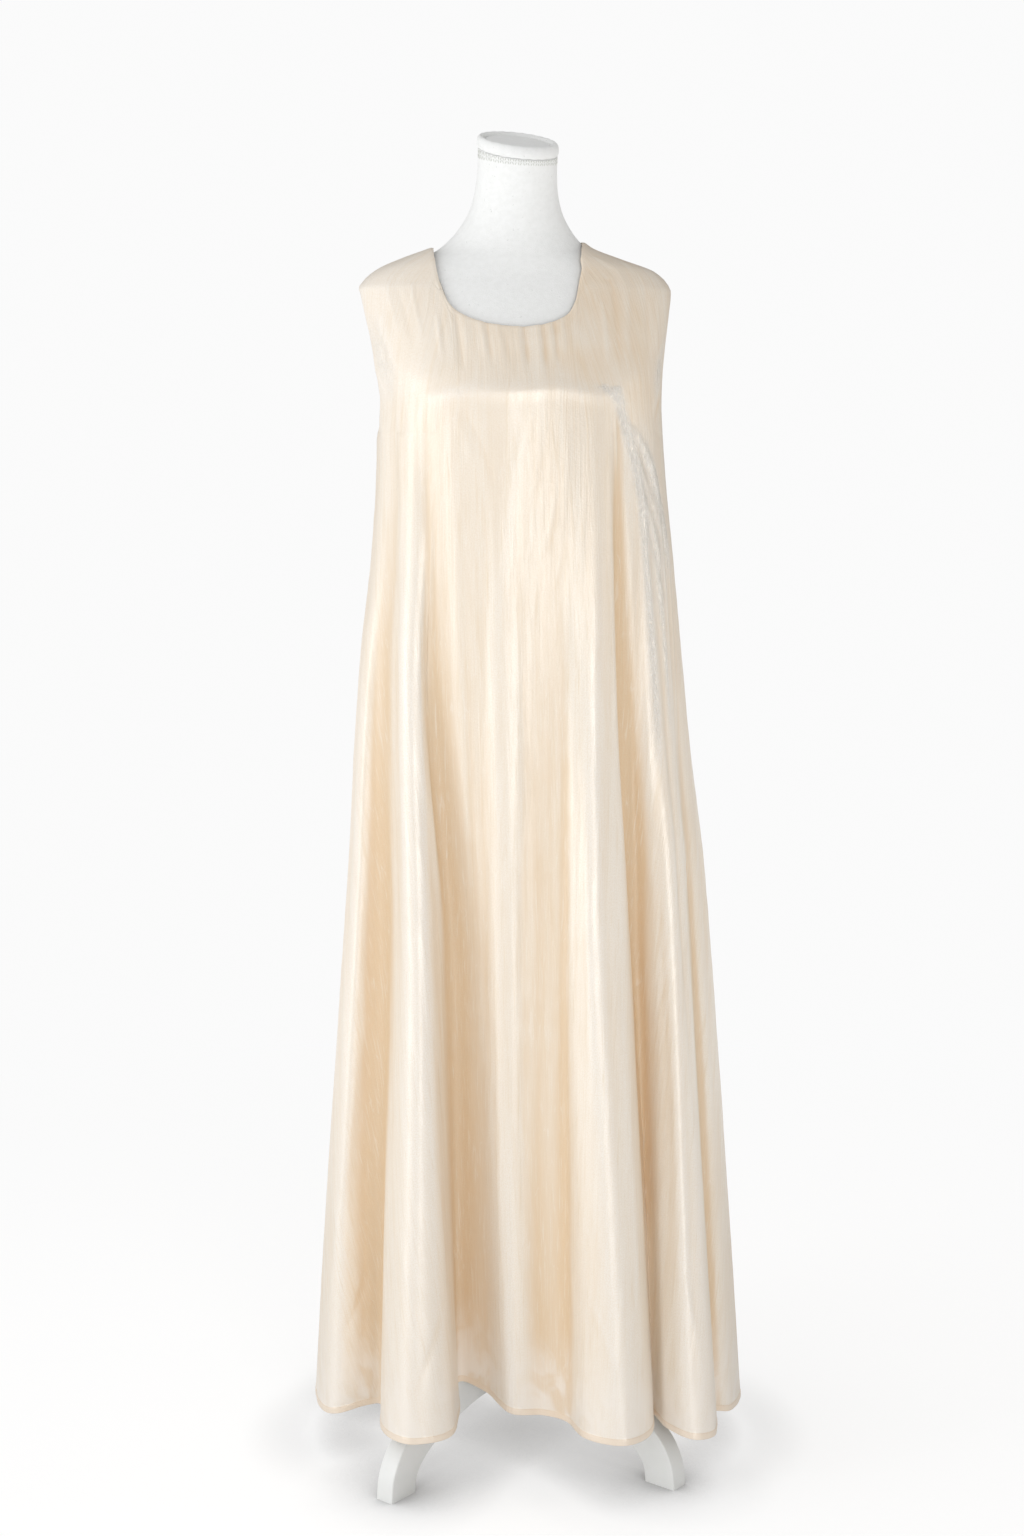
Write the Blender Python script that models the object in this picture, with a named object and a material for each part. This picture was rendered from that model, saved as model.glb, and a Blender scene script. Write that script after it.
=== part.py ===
"""Sleeveless floor-length A-line slip dress of an abaya set, on a limbless dress form and stand.

Metres, +Z up, the floor at Z = 0, the front towards -Y.  The dress is two panels, a front and a
back, sewn at the sides and shoulders.  Each panel is a thin wall worked out from level sections
(DRESS_RINGS) and from fold lines (FRONT_FOLDS, BACK_FOLDS) that open towards the hem.
"""
import math

import bmesh
import bpy
import numpy as np
from mathutils import Vector

for stale in list(bpy.data.objects):
    bpy.data.objects.remove(stale, do_unlink=True)

# ------------------------------------------------------------------ sizes
CLOTH = 0.0016            # wall of the cloth
SEAM_GAP = 0.0004         # opening between the two panels at the seams
AXIS_X = -0.0095          # the stand's axis, from the middle of the hem
AXIS_Y = 0.0010
DRESS_TURN = math.radians(8.0)   # the folds lie in a frame turned by this much about the axis

UNDERARM_Z = 1.260        # bottom of the armholes, top of the side seams
TIP_Z = 1.427             # shoulder tip, top of the armholes
FOLD_TOP_Z = 1.335        # the folds start here, just above the bust line
KNEE_Z = 0.600            # middle level of the fold tables
ARMHOLE_FRONT = math.radians(10.5)   # how far the armhole is scooped to the front
ARMHOLE_BACK = math.radians(27.0)    # and to the back

# Smooth level sections of the dress, without its folds: height, half widths to the left and right,
# half depths to the front and back, and how far the section's middle lies behind the axis.
DRESS_RINGS_COLUMNS = ("z", "left", "right", "front", "back", "middle")
DRESS_RINGS = (
    (0.050, 0.2590, 0.2855, 0.170, 0.172, 0.000),
    (0.300, 0.2415, 0.2660, 0.163, 0.162, 0.000),
    (0.600, 0.2170, 0.2400, 0.156, 0.148, 0.000),
    (0.760, 0.2055, 0.2255, 0.151, 0.137, 0.000),
    (0.880, 0.1985, 0.2110, 0.147, 0.128, 0.000),
    (1.000, 0.1890, 0.2000, 0.143, 0.118, 0.000),
    (1.100, 0.1770, 0.1900, 0.140, 0.111, 0.000),
    (1.200, 0.1695, 0.1790, 0.137, 0.107, 0.000),
    (1.250, 0.1680, 0.1750, 0.1355, 0.106, 0.000),
    (1.262, 0.1677, 0.1740, 0.135, 0.106, 0.000),
    (1.290, 0.1685, 0.1728, 0.134, 0.106, 0.000),
    (1.316, 0.1720, 0.1735, 0.130, 0.105, 0.000),
    (1.360, 0.1790, 0.1785, 0.113, 0.101, 0.004),
    (1.400, 0.1850, 0.1850, 0.099, 0.094, 0.012),
    (1.427, 0.1875, 0.1885, 0.090, 0.082, 0.019),
    (1.438, 0.1810, 0.1835, 0.087, 0.075, 0.023),
    (1.450, 0.1670, 0.1710, 0.084, 0.068, 0.027),
    (1.465, 0.1340, 0.1300, 0.082, 0.060, 0.031),
    (1.478, 0.0990, 0.0950, 0.080, 0.052, 0.034),
    (1.487, 0.0800, 0.0830, 0.078, 0.046, 0.036),
)

# Fold lines of the front, left to right: where the line starts round the bust (degrees from the
# left side), then its place across and out from the axis at the knee and at the hem, in the
# turned frame, and the height of the hem on it.
FOLD_COLUMNS = ("name", "turn", "knee_across", "knee_out", "hem_across", "hem_out", "hem_z")
FRONT_FOLDS = (
    ("side_left",     0.0, -0.2175, 0.000, -0.2560, 0.000, 0.052),
    ("left_corner",   6.0, -0.2115, 0.036, -0.2420, 0.062, 0.056),
    ("left_panel",   13.0, -0.1990, 0.060, -0.2220, 0.086, 0.062),
    ("left_valley",  21.0, -0.1760, 0.054, -0.1880, 0.076, 0.068),
    ("fold_a_root",  26.0, -0.1560, 0.069, -0.1665, 0.087, 0.073),
    ("fold_a_edge",  29.5, -0.1470, 0.112, -0.1640, 0.165, 0.079),
    ("fold_a_front", 33.0, -0.1340, 0.148, -0.1400, 0.214, 0.083),
    ("fold_a_crest", 37.0, -0.1180, 0.161, -0.1120, 0.224, 0.085),
    ("fold_a_cheek", 41.5, -0.1000, 0.152, -0.0780, 0.206, 0.087),
    ("fold_a_back",  45.0, -0.0910, 0.132, -0.0700, 0.155, 0.095),
    ("deep_valley",  50.0, -0.0760, 0.106, -0.0710, 0.110, 0.113),
    ("valley_rise",  60.0, -0.0470, 0.115, -0.0370, 0.124, 0.106),
    ("middle_left",  74.0, -0.0150, 0.138, -0.0090, 0.160, 0.095),
    ("middle_right", 89.0,  0.0250, 0.135,  0.0300, 0.151, 0.089),
    ("ridge_b_root", 99.0,  0.0500, 0.140,  0.0600, 0.167, 0.087),
    ("ridge_b_left", 105.0, 0.0680, 0.158,  0.0800, 0.208, 0.085),
    ("ridge_b_crest", 112.0, 0.0930, 0.170, 0.1220, 0.229, 0.085),
    ("ridge_b_cheek", 118.0, 0.1180, 0.160, 0.1530, 0.208, 0.085),
    ("ridge_b_edge", 122.0, 0.1330, 0.140,  0.1645, 0.170, 0.087),
    ("tan_valley",   127.5, 0.1420, 0.098,  0.1610, 0.138, 0.090),
    ("fold_c_left",  134.0, 0.1600, 0.106,  0.1790, 0.174, 0.083),
    ("fold_c_crest", 141.0, 0.1840, 0.122,  0.2080, 0.196, 0.078),
    ("fold_c_cheek", 148.0, 0.2010, 0.112,  0.2350, 0.180, 0.075),
    ("fold_c_edge",  153.0, 0.2080, 0.090,  0.2420, 0.140, 0.072),
    ("side_valley",  158.0, 0.2130, 0.060,  0.2430, 0.096, 0.069),
    ("right_panel",  166.0, 0.2280, 0.045,  0.2650, 0.078, 0.063),
    ("side_right",   180.0, 0.2410, 0.003,  0.2835, 0.005, 0.054),
)
# Fold lines of the back, right to left, with the same columns (out is negative behind the axis).
BACK_FOLDS = (
    ("back_right_corner", 193.0,  0.2345, -0.045,  0.2760, -0.062, 0.057),
    ("fold_d_crest",      203.0,  0.2150, -0.082,  0.2620, -0.118, 0.064),
    ("fold_d_cheek",      210.0,  0.1960, -0.100,  0.2380, -0.142, 0.068),
    ("valley_d",          217.0,  0.1780, -0.096,  0.2140, -0.120, 0.075),
    ("fold_e_root",       224.0,  0.1600, -0.112,  0.1960, -0.150, 0.078),
    ("fold_e_crest",      232.0,  0.1360, -0.140,  0.1680, -0.210, 0.081),
    ("fold_e_cheek",      240.0,  0.1100, -0.150,  0.1280, -0.226, 0.083),
    ("fold_e_back",       246.0,  0.0880, -0.138,  0.0940, -0.200, 0.088),
    ("valley_e",          252.0,  0.0700, -0.120,  0.0820, -0.142, 0.100),
    ("back_right_middle", 260.0,  0.0420, -0.124,  0.0500, -0.150, 0.096),
    ("fold_f_root",       267.0,  0.0150, -0.130,  0.0180, -0.168, 0.090),
    ("fold_f_crest",      273.0, -0.0100, -0.155, -0.0080, -0.222, 0.086),
    ("fold_f_cheek",      281.0, -0.0360, -0.164, -0.0480, -0.238, 0.084),
    ("fold_f_back",       287.0, -0.0580, -0.148, -0.0780, -0.205, 0.088),
    ("valley_f",          293.0, -0.0740, -0.124, -0.0880, -0.152, 0.098),
    ("back_left_middle",  301.0, -0.1000, -0.118, -0.1180, -0.152, 0.092),
    ("fold_g_root",       308.0, -0.1220, -0.118, -0.1420, -0.172, 0.085),
    ("fold_g_crest",      316.0, -0.1460, -0.130, -0.1700, -0.206, 0.079),
    ("fold_g_cheek",      325.0, -0.1700, -0.114, -0.2050, -0.184, 0.074),
    ("valley_g",          332.0, -0.1800, -0.086, -0.2140, -0.128, 0.070),
    ("back_left_panel",   342.0, -0.2000, -0.060, -0.2400, -0.090, 0.062),
    ("back_left_corner",  351.0, -0.2125, -0.030, -0.2535, -0.045, 0.055),
)

# The neckline: degrees round from the left side, and height.
NECKLINE_COLUMNS = ("turn", "z")
FRONT_NECKLINE = (
    (0.0, 1.4790), (15.0, 1.4765), (30.0, 1.4715), (40.0, 1.4655), (51.0, 1.4535), (56.0, 1.4410),
    (58.5, 1.4280), (60.0, 1.4155), (62.0, 1.4055), (65.0, 1.3980), (72.0, 1.3885), (80.0, 1.3835),
    (87.0, 1.3820), (94.0, 1.3840), (100.0, 1.3890), (105.0, 1.3975), (108.0, 1.4125), (110.5, 1.4360),
    (117.0, 1.4575), (125.0, 1.4670), (135.0, 1.4740), (145.0, 1.4790), (155.0, 1.4835), (180.0, 1.4870),
)
BACK_NECKLINE = (
    (180.0, 1.4870), (205.0, 1.4740), (240.0, 1.4650), (270.0, 1.4625), (300.0, 1.4635), (335.0, 1.4700), (360.0, 1.4790),
)

# The form: height, half width, half depths to the front and back, middle behind the axis.
FORM_RINGS_COLUMNS = ("z", "half", "front", "back", "middle")
FORM_RINGS = (
    (0.7200, 0.1500, 0.0920, 0.0900, 0.000),
    (0.7400, 0.1540, 0.0950, 0.0920, 0.000),
    (0.8000, 0.1590, 0.0970, 0.0930, 0.000),
    (0.8800, 0.1560, 0.0970, 0.0920, 0.000),
    (0.9800, 0.1390, 0.0950, 0.0870, 0.000),
    (1.0600, 0.1330, 0.0950, 0.0850, 0.000),
    (1.1500, 0.1430, 0.1060, 0.0900, 0.000),
    (1.2400, 0.1560, 0.1250, 0.0990, 0.000),
    (1.2888, 0.1590, 0.1275, 0.0990, 0.000),
    (1.3118, 0.1625, 0.1243, 0.0990, 0.000),
    (1.3553, 0.1695, 0.1077, 0.0950, 0.004),
    (1.3953, 0.1755, 0.0940, 0.0880, 0.012),
    (1.4218, 0.1785, 0.0852, 0.0765, 0.019),
    (1.4328, 0.1735, 0.0823, 0.0695, 0.023),
    (1.4448, 0.1615, 0.0793, 0.0625, 0.027),
    (1.4598, 0.1265, 0.0773, 0.0545, 0.031),
    (1.4728, 0.0945, 0.0753, 0.0475, 0.034),
    (1.4860, 0.0780, 0.0692, 0.0500, 0.031),
    (1.5000, 0.0660, 0.0624, 0.0530, 0.025),
    (1.5170, 0.0560, 0.0562, 0.0530, 0.018),
    (1.5350, 0.0503, 0.0530, 0.0520, 0.012),
    (1.5520, 0.0477, 0.0510, 0.0510, 0.006),
    (1.5720, 0.0465, 0.0500, 0.0500, 0.000),
    (1.5860, 0.0463, 0.0500, 0.0500, -0.003),
)
NECK_TILT_Z = 1.530       # the sections start to lean here, up to the neck's slanted end
NECK_TILT_FRONT = math.radians(16.0)   # the end slopes down to the front
NECK_TILT_SIDE = math.radians(3.7)     # and a little to the right

# Neck cap: a rolled rim round a sunk oval plate, height above the neck's end and share of its size.
CAP_PROFILE_COLUMNS = ("share", "height")
CAP_PROFILE = (
    (0.900, 0.0000), (0.985, 0.0003), (1.030, 0.0030), (1.045, 0.0070), (1.030, 0.0110), (0.985, 0.0140),
    (0.920, 0.0145), (0.865, 0.0130), (0.840, 0.0105), (0.825, 0.0108), (0.600, 0.0118), (0.300, 0.0124),
)
CAP_GAP = 0.0003

STAND_TURN = math.radians(-2.0)
POLE_RADIUS = 0.0140
HUB_HALF = 0.0300
HUB_BOTTOM = 0.0800
HUB_TOP = 0.1400
JOINT_GAP = 0.0003
LEG_WIDTH = 0.0430
LEG_THICK = 0.0250
LEG_BEVEL = 0.0015
# Middle line of a leg, from its foot to the hub: distance from the axis and height.
LEG_COLUMNS = ("reach", "z")
LEG_LINE = (
    (0.2310, 0.0000), (0.2290, 0.0180), (0.2210, 0.0370), (0.2050, 0.0540), (0.1820, 0.0690),
    (0.1540, 0.0820), (0.1240, 0.0920), (0.0930, 0.0990), (0.0620, 0.1030), (0.0303, 0.1050),
)


# ------------------------------------------------------------------ curves through the tables
def column(table, names, name):
    return np.array([row[names.index(name)] for row in table], dtype=float)


def smooth_through(xs, ys, x):
    """Monotone cubic curve through a table's points; the ends carry on straight."""
    xs, ys, x = np.asarray(xs, float), np.asarray(ys, float), np.asarray(x, float)
    h = np.diff(xs)
    d = np.diff(ys) / h
    m = np.zeros(len(xs))
    m[0], m[-1] = d[0], d[-1]
    for i in range(1, len(xs) - 1):
        if d[i - 1] * d[i] > 0:
            w1, w2 = 2 * h[i] + h[i - 1], h[i] + 2 * h[i - 1]
            m[i] = (w1 + w2) / (w1 / d[i - 1] + w2 / d[i])
    i = np.clip(np.searchsorted(xs, x, side="right") - 1, 0, len(h) - 1)
    s = np.clip((x - xs[i]) / h[i], 0.0, 1.0)
    value = ((2 * s**3 - 3 * s**2 + 1) * ys[i] + (s**3 - 2 * s**2 + s) * h[i] * m[i]
             + (-2 * s**3 + 3 * s**2) * ys[i + 1] + (s**3 - s**2) * h[i] * m[i + 1])
    value = np.where(x < xs[0], ys[0] + m[0] * (x - xs[0]), value)
    return np.where(x > xs[-1], ys[-1] + m[-1] * (x - xs[-1]), value)


def through_controls(values, u, period=None):
    """Catmull-Rom curve through one value for each whole number of u, closed on itself."""
    n = len(values)
    i = np.floor(u).astype(int)
    s = u - i
    picks = []
    for k in (-1, 0, 1, 2):
        j = i + k
        v = values[np.mod(j, n)]
        if period is not None:
            v = v + period * np.floor_divide(j, n)
        picks.append(v)
    p0, p1, p2, p3 = picks
    return 0.5 * (2 * p1 + (p2 - p0) * s + (2 * p0 - 5 * p1 + 4 * p2 - p3) * s**2
                  + (3 * p1 - p0 - 3 * p2 + p3) * s**3)


# ------------------------------------------------------------------ the dress
def dress_ring(turn, z):
    """A point of the smooth section at this height, turn radians round from the left side."""
    left, right, front, back, middle = (
        smooth_through(column(DRESS_RINGS, DRESS_RINGS_COLUMNS, "z"),
                       column(DRESS_RINGS, DRESS_RINGS_COLUMNS, name), z)
        for name in DRESS_RINGS_COLUMNS[1:])
    c, s = np.cos(turn), np.sin(turn)
    return -np.where(c > 0, left, right) * c, middle - np.where(s > 0, front, back) * s


FOLDS = FRONT_FOLDS + BACK_FOLDS
FRONT_COUNT = len(FRONT_FOLDS) - 1      # the fold number of the right side seam
FOLD_COUNT = len(FOLDS)


def turned(across, out):
    c, s = math.cos(DRESS_TURN), math.sin(DRESS_TURN)
    return across * c - out * s, -across * s - out * c


def fold_offsets():
    """How far each fold line stands off the smooth section, at the knee and at the hem."""
    turn = np.radians(column(FOLDS, FOLD_COLUMNS, "turn"))
    hem_z = column(FOLDS, FOLD_COLUMNS, "hem_z")
    result = []
    for part, z in (("knee", np.full(len(turn), KNEE_Z)), ("hem", hem_z)):
        x, y = turned(column(FOLDS, FOLD_COLUMNS, part + "_across"), column(FOLDS, FOLD_COLUMNS, part + "_out"))
        ring_x, ring_y = dress_ring(turn, z)
        result.append((x - ring_x, y - ring_y))
    return turn, hem_z, result[0], result[1]


FOLD_TURN, FOLD_HEM_Z, KNEE_OFFSET, HEM_OFFSET = fold_offsets()


def turn_of(u):
    return through_controls(FOLD_TURN, u, period=2 * math.pi)


def hem_height(u):
    return through_controls(FOLD_HEM_Z, u)


def opening(knee, hem, z, hem_z):
    """A fold's stand-off at height z: none at the bust line, the table's at the knee and hem."""
    upper, lower = FOLD_TOP_Z - KNEE_Z, KNEE_Z - hem_z
    d_up, d_low = knee / upper, (hem - knee) / lower
    agree = d_up * d_low > 0
    bend = np.where(agree, 2 * d_up * d_low / np.where(agree, d_up + d_low, 1.0), 0.0)
    s = np.clip((FOLD_TOP_Z - z) / upper, 0.0, 1.0)
    high = knee * (3 * s**2 - 2 * s**3) + bend * upper * (s**3 - s**2)
    q = np.clip((KNEE_Z - z) / lower, 0.0, 1.2)
    end = 1.5 * d_low - 0.5 * bend
    low = ((2 * q**3 - 3 * q**2 + 1) * knee + (q**3 - 2 * q**2 + q) * lower * bend
           + (3 * q**2 - 2 * q**3) * hem + (q**3 - q**2) * lower * end)
    return np.where(z > KNEE_Z, high, low)


def armhole_scoop(turn, z, back):
    """Shift of a point's turn that opens the armholes, strongest at the sides."""
    middle, half = 0.5 * (UNDERARM_Z + TIP_Z), 0.5 * (TIP_Z - UNDERARM_Z)
    rise = np.clip(1.0 - np.abs((z - middle) / half) ** 2.4, 0.0, 1.0) ** (1 / 2.4)
    pull = (ARMHOLE_BACK if back else ARMHOLE_FRONT) * rise
    side = np.cos(turn)
    way = np.sign(side) * (-1.0 if back else 1.0)
    return pull * way * side**2


def dress_point(u, z, back):
    """Outer face of the dress on column u at height z."""
    turn = turn_of(u)
    hem_z = hem_height(u)
    shift = [opening(through_controls(KNEE_OFFSET[k], u), through_controls(HEM_OFFSET[k], u), z, hem_z)
             for k in (0, 1)]
    x, y = dress_ring(turn + armhole_scoop(turn, z, back), z)
    return np.stack([x + shift[0], y + shift[1], np.broadcast_to(z, np.shape(x))], axis=-1)


def neck_height(u, back):
    """Where column u ends at the neckline, or at the neck end of a shoulder seam."""
    table = BACK_NECKLINE if back else FRONT_NECKLINE
    turns = np.radians(column(table, NECKLINE_COLUMNS, "turn"))
    heights = column(table, NECKLINE_COLUMNS, "z")
    turn = turn_of(u)
    z = smooth_through(turns, heights, turn)
    for _ in range(12):
        z = smooth_through(turns, heights, turn + armhole_scoop(turn, z, back))
    return z


def panel_grid(back, columns_each, rows_skirt, rows_arm, rows_shoulder):
    """Outer face of a panel: rows from the hem up, columns from one side seam to the other."""
    first, last = (FRONT_COUNT, FOLD_COUNT) if back else (0, FRONT_COUNT)
    us = [float(first)]
    for k in range(first, last):
        gap = math.degrees(float(turn_of(np.array(k + 1.0)) - turn_of(np.array(float(k)))))
        count = max(columns_each, int(round(gap * columns_each / 9.0)))
        us += [k + (i + 1) / count for i in range(count)]
    grid = []
    for u in us:
        hem_z = float(hem_height(np.array(u)))
        top_z = float(neck_height(np.array(u), back))
        skirt = hem_z + (UNDERARM_Z - hem_z) * np.linspace(0.0, 1.0, rows_skirt + 1)
        fine = np.linspace(UNDERARM_Z, top_z, 400)
        path = dress_point(np.full(len(fine), u), fine, back)
        run = np.concatenate([[0.0], np.cumsum(np.linalg.norm(np.diff(path, axis=0), axis=1))])
        tip = np.interp(TIP_Z, fine, run / run[-1])
        side = abs(math.cos(float(turn_of(np.array(u))))) ** 4
        share = rows_arm / (rows_arm + rows_shoulder)
        knot = share + (tip - share) * side
        arc = 0.5 * (1.0 - np.cos(math.pi * np.linspace(0, 1, rows_arm + 1)))
        even = np.linspace(0, 1, rows_arm + 1)
        parts = np.concatenate([knot * (side * arc + (1.0 - side) * even),
                                knot + (1 - knot) * np.linspace(0, 1, rows_shoulder + 1)[1:]])
        upper = np.interp(parts * run[-1], run, fine)
        zs = np.concatenate([skirt, upper[1:]])
        grid.append(dress_point(np.full(len(zs), u), zs, back))
    return np.array(grid).transpose(1, 0, 2)


def grid_normals(grid):
    across = np.gradient(grid, axis=1)
    up = np.gradient(grid, axis=0)
    n = np.cross(across, up)
    return n / np.linalg.norm(n, axis=2, keepdims=True)


def seam_frames(front, back, front_n, back_n):
    """Share the normals along the side and shoulder seams, and open the seam gap there."""
    for front_col, back_col in ((0, -1), (-1, 0)):
        both = front_n[:, front_col] + back_n[:, back_col]
        both /= np.linalg.norm(both, axis=1, keepdims=True)
        same = np.linalg.norm(front[:, front_col] - back[:, back_col], axis=1) < 1e-6
        front_n[same, front_col] = both[same]
        back_n[same, back_col] = both[same]
    for grid, normals in ((front, front_n), (back, back_n)):
        for col, inside in ((0, 1), (-1, -2)):
            way = grid[:, inside] - grid[:, col]
            way -= normals[:, col] * np.sum(way * normals[:, col], axis=1, keepdims=True)
            way /= np.linalg.norm(way, axis=1, keepdims=True)
            grid[:, col] += way * (SEAM_GAP / 2)


def wall_mesh(name, outer, normals):
    """A closed wall of even thickness behind an outer face."""
    rows, cols = outer.shape[:2]
    inner = outer - normals * CLOTH
    verts = np.concatenate([outer.reshape(-1, 3), inner.reshape(-1, 3)])
    out = np.arange(rows * cols).reshape(rows, cols)
    ins = out + rows * cols
    faces = []
    for r in range(rows - 1):
        for c in range(cols - 1):
            faces.append((out[r, c], out[r, c + 1], out[r + 1, c + 1], out[r + 1, c]))
            faces.append((ins[r, c], ins[r + 1, c], ins[r + 1, c + 1], ins[r, c + 1]))
    rim = ([(0, c) for c in range(cols - 1)] + [(r, cols - 1) for r in range(rows - 1)]
           + [(rows - 1, c) for c in range(cols - 1, 0, -1)] + [(r, 0) for r in range(rows - 1, 0, -1)])
    for k, (r, c) in enumerate(rim):
        r2, c2 = rim[(k + 1) % len(rim)]
        faces.append((out[r2, c2], out[r, c], ins[r, c], ins[r2, c2]))
    return mesh_object(name, verts, faces)


# ------------------------------------------------------------------ objects
def material(name, colour, roughness, metallic=0.0):
    mat = bpy.data.materials.new(name)
    mat.use_nodes = True
    shader = mat.node_tree.nodes["Principled BSDF"]
    shader.inputs["Base Color"].default_value = (*colour, 1.0)
    shader.inputs["Roughness"].default_value = roughness
    shader.inputs["Metallic"].default_value = metallic
    return mat


def mesh_object(name, verts, faces):
    mesh = bpy.data.meshes.new(name)
    mesh.from_pydata([tuple(map(float, v)) for v in verts], [], [tuple(map(int, f)) for f in faces])
    mesh.update()
    return link(name, mesh)


def link(name, mesh):
    obj = bpy.data.objects.new(name, mesh)
    bpy.context.collection.objects.link(obj)
    obj.location = (AXIS_X, AXIS_Y, 0.0)
    return obj


def smooth_shading(obj, degrees):
    obj.data.shade_smooth()
    obj.data.set_sharp_from_angle(angle=math.radians(degrees))


def tilt_of(z):
    """How much of the neck's slant a section at this height has."""
    top = FORM_RINGS[-1][0]
    return smooth_through([NECK_TILT_Z, 0.5 * (NECK_TILT_Z + top), top], [0.0, 0.35, 1.0],
                          np.clip(z, NECK_TILT_Z, top))


def slant(x, y, middle, share):
    return share * (math.tan(NECK_TILT_FRONT) * (y - middle) - math.tan(NECK_TILT_SIDE) * x)


def form_point(angle, z, grow=1.0):
    half, front, back, middle = (
        smooth_through(column(FORM_RINGS, FORM_RINGS_COLUMNS, "z"),
                       column(FORM_RINGS, FORM_RINGS_COLUMNS, name), z)
        for name in FORM_RINGS_COLUMNS[1:])
    c, s = np.cos(angle), np.sin(angle)
    x = -half * c * grow
    y = middle - np.where(s > 0, front, back) * s * grow
    return x, y, z + slant(x, y, middle, tilt_of(z))


def loft(name, rings):
    """A closed solid through rings of points, each end filled with a fan."""
    count = len(rings[0])
    verts = [p for ring in rings for p in ring]
    faces = []
    for k in range(len(rings) - 1):
        for i in range(count):
            j = (i + 1) % count
            faces.append((k * count + i, k * count + j, (k + 1) * count + j, (k + 1) * count + i))
    verts.append(tuple(np.mean(np.array(rings[0]), axis=0)))
    verts.append(tuple(np.mean(np.array(rings[-1]), axis=0)))
    low, high = len(verts) - 2, len(verts) - 1
    last = (len(rings) - 1) * count
    for i in range(count):
        j = (i + 1) % count
        faces.append((low, j, i))
        faces.append((high, last + i, last + j))
    return mesh_object(name, verts, faces)


def build_dress():
    satin = (0.86, 0.74, 0.58)
    front = panel_grid(False, 2, 13, 5, 3)
    back = panel_grid(True, 2, 13, 5, 3)
    front_n, back_n = grid_normals(front), grid_normals(back)
    seam_frames(front, back, front_n, back_n)
    for name, grid, normals in (("dress_front", front, front_n), ("dress_back", back, back_n)):
        obj = wall_mesh(name, grid, normals)
        obj.data.materials.append(material(name + "_satin", satin, 0.38))
        smooth_shading(obj, 50)


def build_form():
    count, jersey = 40, (0.86, 0.87, 0.85)
    angles = np.arange(count) * 2 * math.pi / count
    zs = []
    table_z = column(FORM_RINGS, FORM_RINGS_COLUMNS, "z")
    for low, high in zip(table_z[:-1], table_z[1:]):
        steps = max(1, int(round((high - low) / 0.045)))
        zs += [low + (high - low) * k / steps for k in range(steps)]
    zs.append(table_z[-1])
    rings = []
    for z in zs:
        x, y, zz = form_point(angles, np.full(count, z))
        rings.append(list(zip(x, y, zz)))
    torso = loft("form_torso", rings)
    torso.data.materials.append(material("form_torso_jersey", jersey, 0.85))
    smooth_shading(torso, 60)

    top_z = table_z[-1]
    rings = []
    for share, height in CAP_PROFILE:
        x, y, zz = form_point(angles, np.full(count, top_z), share)
        rings.append(list(zip(x, y, zz + height + CAP_GAP)))
    cap = loft("neck_cap", rings)
    cap.data.materials.append(material("neck_cap_jersey", jersey, 0.85))
    smooth_shading(cap, 50)


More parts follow.
